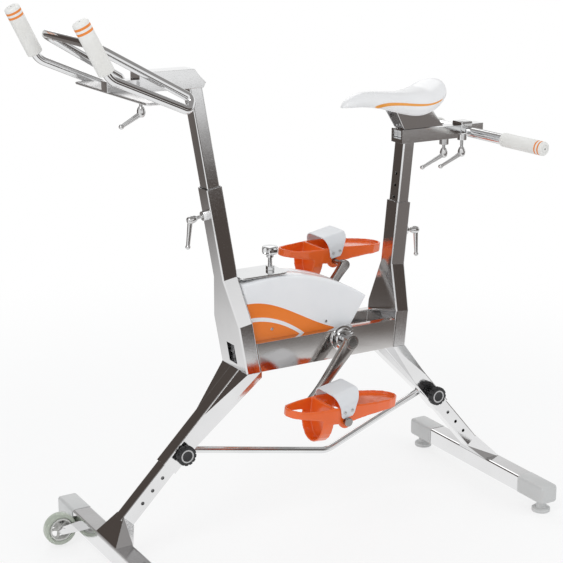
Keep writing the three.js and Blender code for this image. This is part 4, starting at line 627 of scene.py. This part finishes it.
screw_steel = steel("screw_steel", (0.6, 0.6, 0.6), 0.25)
for side, sign in hands:
    bow = np.linspace(0, np.pi / 2, 10)
    stations = [(0.15, 0.5), (0.6, 0.0), (12, 0.0), (24, 0.0)]
    stations += [(31.5 + 8 * math.sin(a), 8 * (1 - math.cos(a))) for a in bow]
    rings = []
    for place, inset in stations:
        ring = cover_outline(inset)
        rings.append(np.stack([ring[:, 0], np.full(len(ring), sign * place), ring[:, 1]], axis=-1))
    shell_points, shell_faces = capped(np.array(rings))
    shell_points[-1] = (40, sign * 39.5, 500)
    piece(f"{side}_cover_half", [(shell_points, shell_faces)], cover_paint, "frame",
          [f"cover_{side}"], sharp=50)
    screws = []
    for screw_x, screw_z in ((-48, 510), (96, 506)):
        head = lathe([(3.4, -1), (3.4, 0.5), (2.9, 1.0), (1.4, 1.1), (1.3, 0.5)],
                     (screw_x, sign * 39.5, screw_z), (0, sign, 0), 28)
        screws.append(capped(head))
    piece(f"{side}_cover_screws", screws, screw_steel, "frame")

# Resistance screw. A steel plate welded across the column holds a nut, through which a polished
# lobed knob on a threaded stem presses the brake pad down.
dress("bridge_plate", polished, 0.0008)


def lobed_knob():
    """A turned profile whose radius swells in six lobes, most at mid height."""
    profile = [(8.0, 667), (8.0, 672), (9.2, 674), (14.6, 675.0), (17.4, 677.2), (18.2, 680), (18.2, 687),
               (17.2, 690.2), (14.4, 692.5), (9, 693.0), (4, 693.0)]
    corners = [(radius, height, 0) for radius, height in profile]
    profile = rounded_path(corners, [1.2] * (len(corners) - 2), 5)[:, :2]
    points = lathe(profile, (0, 0, 0), (0, 0, 1), 144)
    angle = np.arctan2(points[..., 1], points[..., 0])
    radius = np.hypot(points[..., 0], points[..., 1])
    share = np.clip((radius - 9) / 9, 0, 1)
    points[..., :2] *= (1 + 0.095 * share * np.cos(6 * angle))[..., None]
    return points + (-30, 0, 0)


stem_way = (0, 0, 1)
knob_shells = [
    capped(lobed_knob()),
    capped(lathe([(4.6, 614.4), (4.6, 668)], (-30, 0, 0), stem_way, 28)),
]
for k in range(9):
    height = 648 + 2.0 * k
    thread = lathe([(4.4, height), (5.0, height + 0.6), (5.0, height + 0.9), (4.4, height + 1.5)],
                   (-30, 0, 0), stem_way, 28)
    knob_shells.append(capped(thread))
piece("resistance_knob_head", knob_shells, polished, "resistance_screw",
      ["resistance_knob"])

# Cranks. Two forged steel arms are pressed on the axle's ends, half a turn apart, each with a
# grooved cap at the axle and a spindle for its pedal.


def stadium(length, first, waist, last):
    """Outline of a crank arm along x: a big eye, a narrow waist and a smaller end."""
    x = np.linspace(0, 1, 40)
    narrow = first + (waist - first) * np.sin(np.pi * np.clip(x * 1.15, 0, 1) / 2) ** 1.4
    narrow += (last - waist) * np.clip((x - 0.7) / 0.3, 0, 1) ** 2
    right = np.linspace(0, np.pi, 24)[1:-1]
    cap = np.stack([length + last * np.sin(right), last * np.cos(right)], axis=-1)
    left = np.linspace(np.pi, 2 * np.pi, 24)[1:-1]
    eye = np.stack([first * np.sin(left), first * np.cos(left)], axis=-1)
    upper = np.stack([x * length, narrow], axis=-1)
    return np.concatenate([upper, cap, upper[::-1] * (1, -1), eye])


crank_steel = steel("crank_steel", (0.34, 0.325, 0.315), 0.16, 0.03)
cap_steel = steel("crank_cap_steel", (0.2, 0.195, 0.19), 0.24, 0.03)
cranks = (("left", -1, 129.5), ("right", 1, -50.5))
for side, sign, degrees in cranks:
    turn = math.radians(degrees)

    def on_crank(points):
        """From the arm's own frame, x along the arm, to the drawing."""
        points = np.asarray(points, float)
        return np.stack([crank_x + points[..., 0] * math.cos(turn) + points[..., 2] * math.sin(turn),
                         sign * points[..., 1],
                         crank_z - points[..., 0] * math.sin(turn) + points[..., 2] * math.cos(turn)],
                        axis=-1)

    rings = []
    for place, inset in ((88.6, 1.6), (89.2, 0.5), (90.4, 0), (101.6, 0), (102.8, 0.5), (103.4, 1.6)):
        ring = stadium(crank_length, 16.5 - inset, 9.5 - inset, 12.6 - inset)
        rings.append(np.stack([ring[:, 0], np.full(len(ring), place), ring[:, 1]], axis=-1))
    eye = lathe([(16.4, 88.1), (17, 88.7), (17, 103.2), (16.4, 103.9), (13.6, 104), (13.2, 103.1),
                 (12.2, 103.1), (11.9, 104), (4, 104)], (0, 0, 0), (0, 1, 0), 64)
    arm_end = (crank_length, 0, 0)
    spindle = lathe([(10, 102), (10, 109.4), (9.4, 110), (6, 110.2), (6, 246)], arm_end, (0, 1, 0), 36)
    nut = lathe([(9, 246), (10, 246.8), (10, 251), (8.8, 252), (2, 252)], arm_end, (0, 1, 0), 36)
    piece(f"{side}_crank_arm", [capped(on_crank(np.array(rings))), capped(on_crank(eye)),
                                capped(on_crank(spindle)), capped(on_crank(nut))],
          crank_steel, "cranks", [f"crank_{side}"], edge=0.0004)
    dust_cap = lathe([(11.2, 104.0), (11.2, 104.6), (10.4, 105.2), (3, 105.4)], (0, 0, 0), (0, 1, 0), 48)
    piece(f"{side}_dust_cap", [capped(on_crank(dust_cap))], cap_steel, "cranks")

# Pedals. Orange moulded sandals with an open toe, a dished heel and a scoop below that drags in the
# water. A grey rubber strap arches over each and is bolted to its sides.


def moulded_copy(name, node, material, body):
    """A CAD node's solid, merged and remeshed finely, so that its edges are round as a moulding's are."""
    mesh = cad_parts[node].data.copy()
    mesh.name = name
    mesh.materials.clear()
    mesh.materials.append(material)
    obj = bpy.data.objects.new(name, mesh)
    bpy.context.scene.collection.objects.link(obj)
    weld = obj.modifiers.new("weld", "WELD")
    weld.merge_threshold = 0.00002
    skin = obj.modifiers.new("skin", "REMESH")
    skin.mode = "VOXEL"
    skin.voxel_size = 0.0015
    skin.use_smooth_shade = True
    ease = obj.modifiers.new("ease", "SMOOTH")
    ease.factor = 0.5
    ease.iterations = 5
    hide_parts(node)
    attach(obj, body)


def resampled(path, count):
    """A path at even steps along its length."""
    length = np.concatenate([[0], np.cumsum(np.linalg.norm(np.diff(path, axis=0), axis=1))])
    even = np.linspace(0, length[-1], count)
    return np.stack([np.interp(even, length, path[:, k]) for k in range(3)], axis=-1)


pedal_orange = plastic("orange_pedal_plastic", (0.86, 0.13, 0.012), 0.24, 300, 0.08, 0.5, 0.9)
strap_rubber = plastic("grey_strap_rubber", (0.74, 0.755, 0.775), 0.3, 800, 0.2, 0.2)
for side, sign, degrees in cranks:
    turn = math.radians(degrees)
    spindle_x = crank_x + crank_length * math.cos(turn)
    spindle_z = crank_z - crank_length * math.sin(turn)
    pitch = math.radians(6)

    def on_pedal(points):
        """From the pedal's own frame, x back along the sole, to the drawing."""
        points = np.asarray(points, float)
        return np.stack([spindle_x + points[..., 0] * math.cos(pitch) + points[..., 2] * math.sin(pitch),
                         sign * 190 + points[..., 1],
                         spindle_z - points[..., 0] * math.sin(pitch) + points[..., 2] * math.cos(pitch)],
                        axis=-1)

    moulded_copy(f"{side}_sandal", f"pedal_{side}", pedal_orange, f"{side}_pedal")

    arch = rounded_path([(0, -51.8, 9), (0, -51.8, 60.5), (0, 51.8, 60.5), (0, 51.8, 9)], [26.5, 26.5], 24)
    arch = resampled(arch, 120)
    along = np.gradient(arch, axis=0)
    along /= np.linalg.norm(along, axis=1)[:, None]
    out = np.cross(along, (1, 0, 0))
    levels = [9, 14, 32, 62]
    front = np.interp(arch[:, 2], levels, [-10, -14, -18, -28])
    rear = np.interp(arch[:, 2], levels, [14, 18, 22, 32])
    section = rounded_rectangle(2.4, 3.0, 1.19)
    section_x = section[None, :, 0]
    ring_x = section_x + np.where(section_x < 0, front[:, None] + 1.2, rear[:, None] - 1.2)
    ring = arch[:, None, :] + section[None, :, 1, None] * out[:, None, :]
    ring[..., 0] += ring_x
    ring[..., 2] += 0.3 * ring[..., 0]
    piece(f"{side}_strap_band", [capped(on_pedal(ring))], strap_rubber, f"{side}_pedal",
          [f"strap_{side}"], sharp=50)
    bolts = []
    for bolt_x in (-7, 11):
        for bolt_way in (-1, 1):
            head = lathe([(3.5, 52.4), (3.5, 54.6), (2.9, 55.6), (1.2, 55.8)], (bolt_x, 0, 22 + 0.3 * bolt_x),
                         (0, bolt_way, 0), 24)
            bolts.append(capped(on_pedal(head)))
    piece(f"{side}_strap_bolts", bolts, screw_steel, f"{side}_pedal")

# Posts. Polished tubes that slide in the columns; each carries a welded box at its head that another
# slide runs in. Clamp levers with a bent handle and a round end press on them.
for node in ("front_post", "saddle_post"):
    dress(node, polished)

steel_lever = steel("lever_steel", (0.7, 0.7, 0.7), 0.14, 0.03)


def clamp_lever(name, node, body, point, normal, arm_way, boss, reach, arm, lean):
    """A thin threaded stem leaves a tube's boss, carries an egg-shaped hub, and from the hub's side a
    round handle slopes away, a little thinner towards its ball end."""
    z = np.asarray(normal, float) / np.linalg.norm(normal)
    x = np.asarray(arm_way, float) / np.linalg.norm(arm_way)
    basis = np.stack([x, np.cross(z, x), z])
    slope = math.radians(lean)
    way = np.array([math.cos(slope), 0, math.sin(slope)])
    hub = reach - 16
    stem = [(4.0, boss + 0.3)]
    for k in range(int((hub - boss) / 1.5)):
        thread = boss + 0.9 + 1.5 * k
        stem += [(4.0, thread), (3.4, thread + 0.5), (3.4, thread + 0.7), (4.0, thread + 1.2)]
    stem.append((4.0, hub + 4))
    egg = [(3.0, hub - 0.5), (5.4, hub), (7.6, hub + 4), (8.9, hub + 9), (9.0, hub + 14), (8.2, hub + 18.5),
           (6.2, hub + 21.8), (3.6, hub + 23.2), (3.2, hub + 22.4), (1.0, hub + 22.4)]
    egg = rounded_path([(radius, height, 0) for radius, height in egg], [0.4, 3, 8, 8, 6, 4, 0.6, 0.3], 5)
    along = np.concatenate([np.linspace(2, arm - 14, 24), np.linspace(arm - 12, arm + 5.4, 22)])
    ball = np.sqrt(np.clip(5.6 ** 2 - (along - arm) ** 2, 0.05, None))
    radius = np.where(along > arm, ball, np.maximum(5.8 - 1.7 * along / arm, ball))
    line = np.array([0, 0, reach - 1.0]) + along[:, None] * way
    hub_shell = lathe(egg[:, :2], (0, 0, 0), (0, 0, 1), 48)
    shells = [capped(part @ basis + np.asarray(point, float))
              for part in (lathe(stem, (0, 0, 0), (0, 0, 1), 28), hub_shell, swept(line, radius, 36))]
    piece(name, shells, steel_lever, body, [node], sharp=50)


def in_column(x, z, degrees, offset, along):
    """A point, a face normal and a downward way in a leaning column, in the drawing."""
    turn = math.radians(degrees)
    place = (x + offset * math.cos(turn) + along * math.sin(turn), 0,
             z - offset * math.sin(turn) + along * math.cos(turn))
    normal = (math.copysign(1, offset) * math.cos(turn), 0, -math.copysign(1, offset) * math.sin(turn))
    down = (-math.sin(turn), 0, -math.cos(turn))
    return place, normal, down


clamp_lever("front_column_lever", "front_post_lever", "front_post_clamp",
            *in_column(front_foot_x, front_foot_z, front_lean, -half_column, 371), 12, 42, 60, 16.6)
clamp_lever("rear_column_lever", "saddle_post_lever", "saddle_post_clamp",
            *in_column(288, 418, 5.4, half_column, 270), 12, 40, 60, 8.3)
for name, node, body, place_x, place_z, reach_down, arm, lean in (
        ("stem_lever", "handlebar_lever", "handlebar_clamp", -340, 1065, 48, 52, 28),
        ("seat_lever", "saddle_lever", "saddle_clamp", 447, 897, 41, 66, 23.2),
        ("rear_lever", "rear_handle_lever", "rear_handle_clamp", 500, 903, 50, 66, 23.2)):
    clamp_lever(name, node, body, (place_x, 0, place_z), (0, 0, -1), (-1, 0, 0), 16, reach_down, arm, lean)

# Handlebar. One long steel tube is bent into two loops joined in front, and a flat plate under the
# slide is welded across it. White rubber grips with two orange rings cover its ends.


def rolled_plate(middle, width, height, low, high):
    """A flat plate with round corners, whose edge is a half round from its top to its underside."""
    rise = np.linspace(-np.pi / 2, np.pi / 2, 11)
    half = (high - low) / 2
    rings = []
    for a in rise:
        inset = half * (1 - math.cos(a))
        ring = rounded_rectangle(width - 2 * inset, height - 2 * inset, 7)
        level = np.full(len(ring), (low + high) / 2 + half * math.sin(a))
        rings.append(np.column_stack([ring + middle, level]))
    return capped(np.array(rings))


dress("handlebar_slide", polished)
grip_end = np.array([-547, 183, 1234.0])
grip_bend = np.array([-490, 188, 1121.0])
grip_way = (grip_bend - grip_end) / np.linalg.norm(grip_bend - grip_end)
half_path = [grip_end + 4.3 * grip_way, grip_bend, (-318, 180, 1046), (-305, 166, 1068.5), (-502, 128, 1183)]
whole_path = half_path + [np.asarray(corner) * (1, -1, 1) for corner in half_path[::-1]]
bar_path = rounded_path(whole_path, [40, 13, 13, 38, 38, 13, 13, 40], 24)
piece("handlebar_tube", [capped(swept(bar_path, 9.5, 40))], polished, "handlebar_body",
      ["handlebar"], edge=0.0006)
blasted = steel("blasted_steel", (0.84, 0.84, 0.84), 0.42, 0.02)
piece("handlebar_plate", [rolled_plate((-391, 0), 42, 364.8, 1062.7, 1068.7)], blasted, "handlebar_body",
      edge=0.0006)


def grip_material(name, start, way, bands):
    """White rubber with orange rings at given distances from the grip's free end; on its face, painted
    shade stands for a small hole in its middle and a fine groove round it."""
    material, tree, shader, point = new_material(name)
    end = metres([start])[0]
    along = dotted(tree, point, tuple(way)) - float(end @ way)
    soft = 0.0003
    mask = 0
    for low, high in bands:
        mask = mask + (along - low / 1000).step(-soft, soft) * (high / 1000 - along).step(-soft, soft)
    cloud = noise(tree, point, 25, 3)
    white = cloud.step(0.3, 0.75).mix((0.82, 0.81, 0.78), (0.87, 0.865, 0.84))
    out = add_node(tree, "ShaderNodeVectorMath", {"operation": "DISTANCE"}, {0: point, 1: tuple(end)},
                   output=1)
    # Painted shade: a dark spot stands for the hole in the grip's face and a darker ring for its groove;
    # neither is modelled.
    painted_hole_shade = (0.002 - out).step(-soft, soft)
    painted_groove_shade = (0.0005 - (out - 0.0085).math("ABSOLUTE")).step(0, soft)
    rubber = mask.mix(white, (0.86, 0.26, 0.04))
    paint = (painted_hole_shade + 0.35 * painted_groove_shade).mix(rubber, (0.06, 0.06, 0.06))
    feed(tree, shader, Base_Color=paint, Roughness=0.42 + 0.12 * cloud)
    bumped(tree, shader, noise(tree, point, 500, 2), 0.25, 0.0003)
    return material


def grip_piece(name, node, start, way, radius, length, bands, body):
    """A grip that is turned round the end of a bar, and closed at its free end."""
    profile = [(0.5 * radius, 0), (radius - 3.4, 0.2), (radius - 1.2, 1.4), (radius - 0.2, 3.8),
               (radius, 6.4), (radius, length - 3), (radius - 0.6, length - 1), (radius - 2.4, length),
               (radius - 6, length)]
    piece(name, [capped(lathe(profile, start, way, 64))], grip_material(name, start, way, bands), body,
          [node], sharp=50)


for side, sign in hands:
    flip = (1, sign, 1)
    grip_piece(f"front_{side}_grip", f"grip_{side}", grip_end * flip, grip_way * flip, 17, 113,
               ((9, 14), (19, 24)), "handlebar_body")

# Saddle. A white moulded seat on a folded steel bracket, bolted to a slide that runs through the
# head of the saddle post. A thin orange line is drawn along each side.
dress("saddle_slide", polished)
dress("saddle_bracket", satin)


def smooth_through(knots, values, places):
    """A smooth curve through values at knots: cubics whose slopes never overshoot their neighbours'."""
    knots, values = np.asarray(knots, float), np.asarray(values, float)
    rise = np.diff(values, axis=0) / np.diff(knots)[:, None]
    slope = np.concatenate([rise[:1], (rise[1:] + rise[:-1]) / 2, rise[-1:]])
    index = np.clip(np.searchsorted(knots, places, side="right") - 1, 0, len(knots) - 2)
    span = (knots[index + 1] - knots[index])[:, None]
    t = ((places - knots[index])[:, None]) / span
    a, b = values[index], values[index + 1]
    return ((2 * t ** 3 - 3 * t ** 2 + 1) * a + (t ** 3 - 2 * t ** 2 + t) * span * slope[index]
            + (3 * t ** 2 - 2 * t ** 3) * b + (t ** 3 - t ** 2) * span * slope[index + 1])


# Shares of the saddle's length, half width and height: place, width, top and underside.
station_shares = np.array([
    [0, 0.07, 0.39, 0.335], [0.02, 0.146, 0.47, 0.34], [0.07, 0.23, 0.61, 0.345],
    [0.155, 0.29, 0.735, 0.345], [0.3, 0.35, 0.76, 0.285], [0.43, 0.44, 0.725, 0.175],
    [0.55, 0.62, 0.695, 0.06], [0.65, 0.83, 0.69, 0.005], [0.74, 0.97, 0.71, 0.045],
    [0.84, 1, 0.775, 0.2], [0.92, 0.92, 0.895, 0.415], [0.975, 0.72, 0.975, 0.58], [1, 0.45, 0.99, 0.7],
])
section_shares = np.array([[-0.86, 0], [-0.97, 0.1], [-1, 0.3], [-0.97, 0.52], [-0.88, 0.72], [-0.7, 0.87],
                           [-0.45, 0.96], [-0.2, 0.99], [0, 1]])
places = 0.5 - 0.5 * np.cos(np.linspace(0, np.pi, 90))
stations = smooth_through(station_shares[:, 0], station_shares[:, 1:], places)
across = smooth_through(np.arange(9.0), section_shares, np.linspace(0, 8, 49))
across = np.concatenate([across, across[-2::-1] * (-1, 1)])
nose_x, tail_x, skirt, crown, half_width = 158, 418, 965, 1040, 70
low = skirt + stations[:, 2] * (crown - skirt)
high = skirt + stations[:, 1] * (crown - skirt)
saddle_points = np.stack([
    np.broadcast_to((nose_x + places * (tail_x - nose_x))[:, None], (90, len(across))),
    across[None, :, 0] * stations[:, 0, None] * half_width,
    low[:, None] + across[None, :, 1] * (high - low)[:, None],
], axis=-1)
saddle_skin, tree, shader, point = new_material("white_saddle_skin")
x, z = coordinate(tree, point, 0), coordinate(tree, point, 2)
line = curve_height(x, [(236, 987.5), (276, 993.7), (330, 991), (392, 1003)])
half_line = 0.0046 - 0.019 * (x - 0.208)
on_line = 1 - (z - line).math("ABSOLUTE").math("DIVIDE", half_line).step(0.75, 1.1)
on_line = on_line * (x - 0.206).step(-0.003, 0.003) * (0.36 - x).step(-0.006, 0.006)
cloud = noise(tree, point, 12, 3)
white = cloud.step(0.3, 0.75).mix((0.83, 0.83, 0.835), (0.87, 0.87, 0.875))
feed(tree, shader, Base_Color=on_line.mix(white, (0.82, 0.33, 0.05)), Roughness=0.24 + 0.1 * cloud)
shader.inputs["Coat Weight"].default_value = 0.4
shader.inputs["Coat Roughness"].default_value = 0.08
bumped(tree, shader, noise(tree, point, 420, 2), 0.12, 0.0002)
piece("saddle_seat", [capped(saddle_points)], saddle_skin, "saddle_body", ["saddle"],
      sharp=60)

# Rear handle. A steel collar slides on the saddle's slide; a bar leaves each side of it and ends in
# a white rubber grip with two orange rings.
outer = rounded_rectangle(38, 30, 4)
inner = rounded_rectangle(32.6, 19.6, 1)
collar = []
for place, ring, middle in ((484.6, outer * 0.97, 918), (485.4, outer, 918), (514.6, outer, 918),
                            (515.4, outer * 0.97, 918), (516, inner, 916.5), (484, inner, 916.5)):
    collar.append(np.stack([np.full(len(ring), float(place)), ring[:, 0], middle + ring[:, 1]], axis=-1))
handle_tip = np.array([549.5, 245, 898.3])
handle_way = handle_tip - (508, 19, 908)
handle_way /= np.linalg.norm(handle_way)
shells = [ringed(np.array(collar))]
for sign in (-1, 1):
    root = np.array([508, 18.0, 908]) * (1, sign, 1)
    tip = (handle_tip - 4.3 * handle_way) * (1, sign, 1)
    shells.append(capped(swept(np.linspace(root, tip, 24), 12.5, 48)))
shells.append(capped(lathe([(10.4, 886.8), (11, 887.4), (11, 903.5)], (500, 0, 0), (0, 0, 1), 48)))
piece("rear_handle_bar", shells, polished, "rear_handle_body", ["rear_handle"])
grip_length = 122 / handle_way[1]
for side, sign in hands:
    flip = (1, sign, 1)
    grip_piece(f"back_{side}_grip", f"rear_grip_{side}", handle_tip * flip, -handle_way * flip, 16.5,
               grip_length, ((8, 12), (17, 21)), "rear_handle_body")
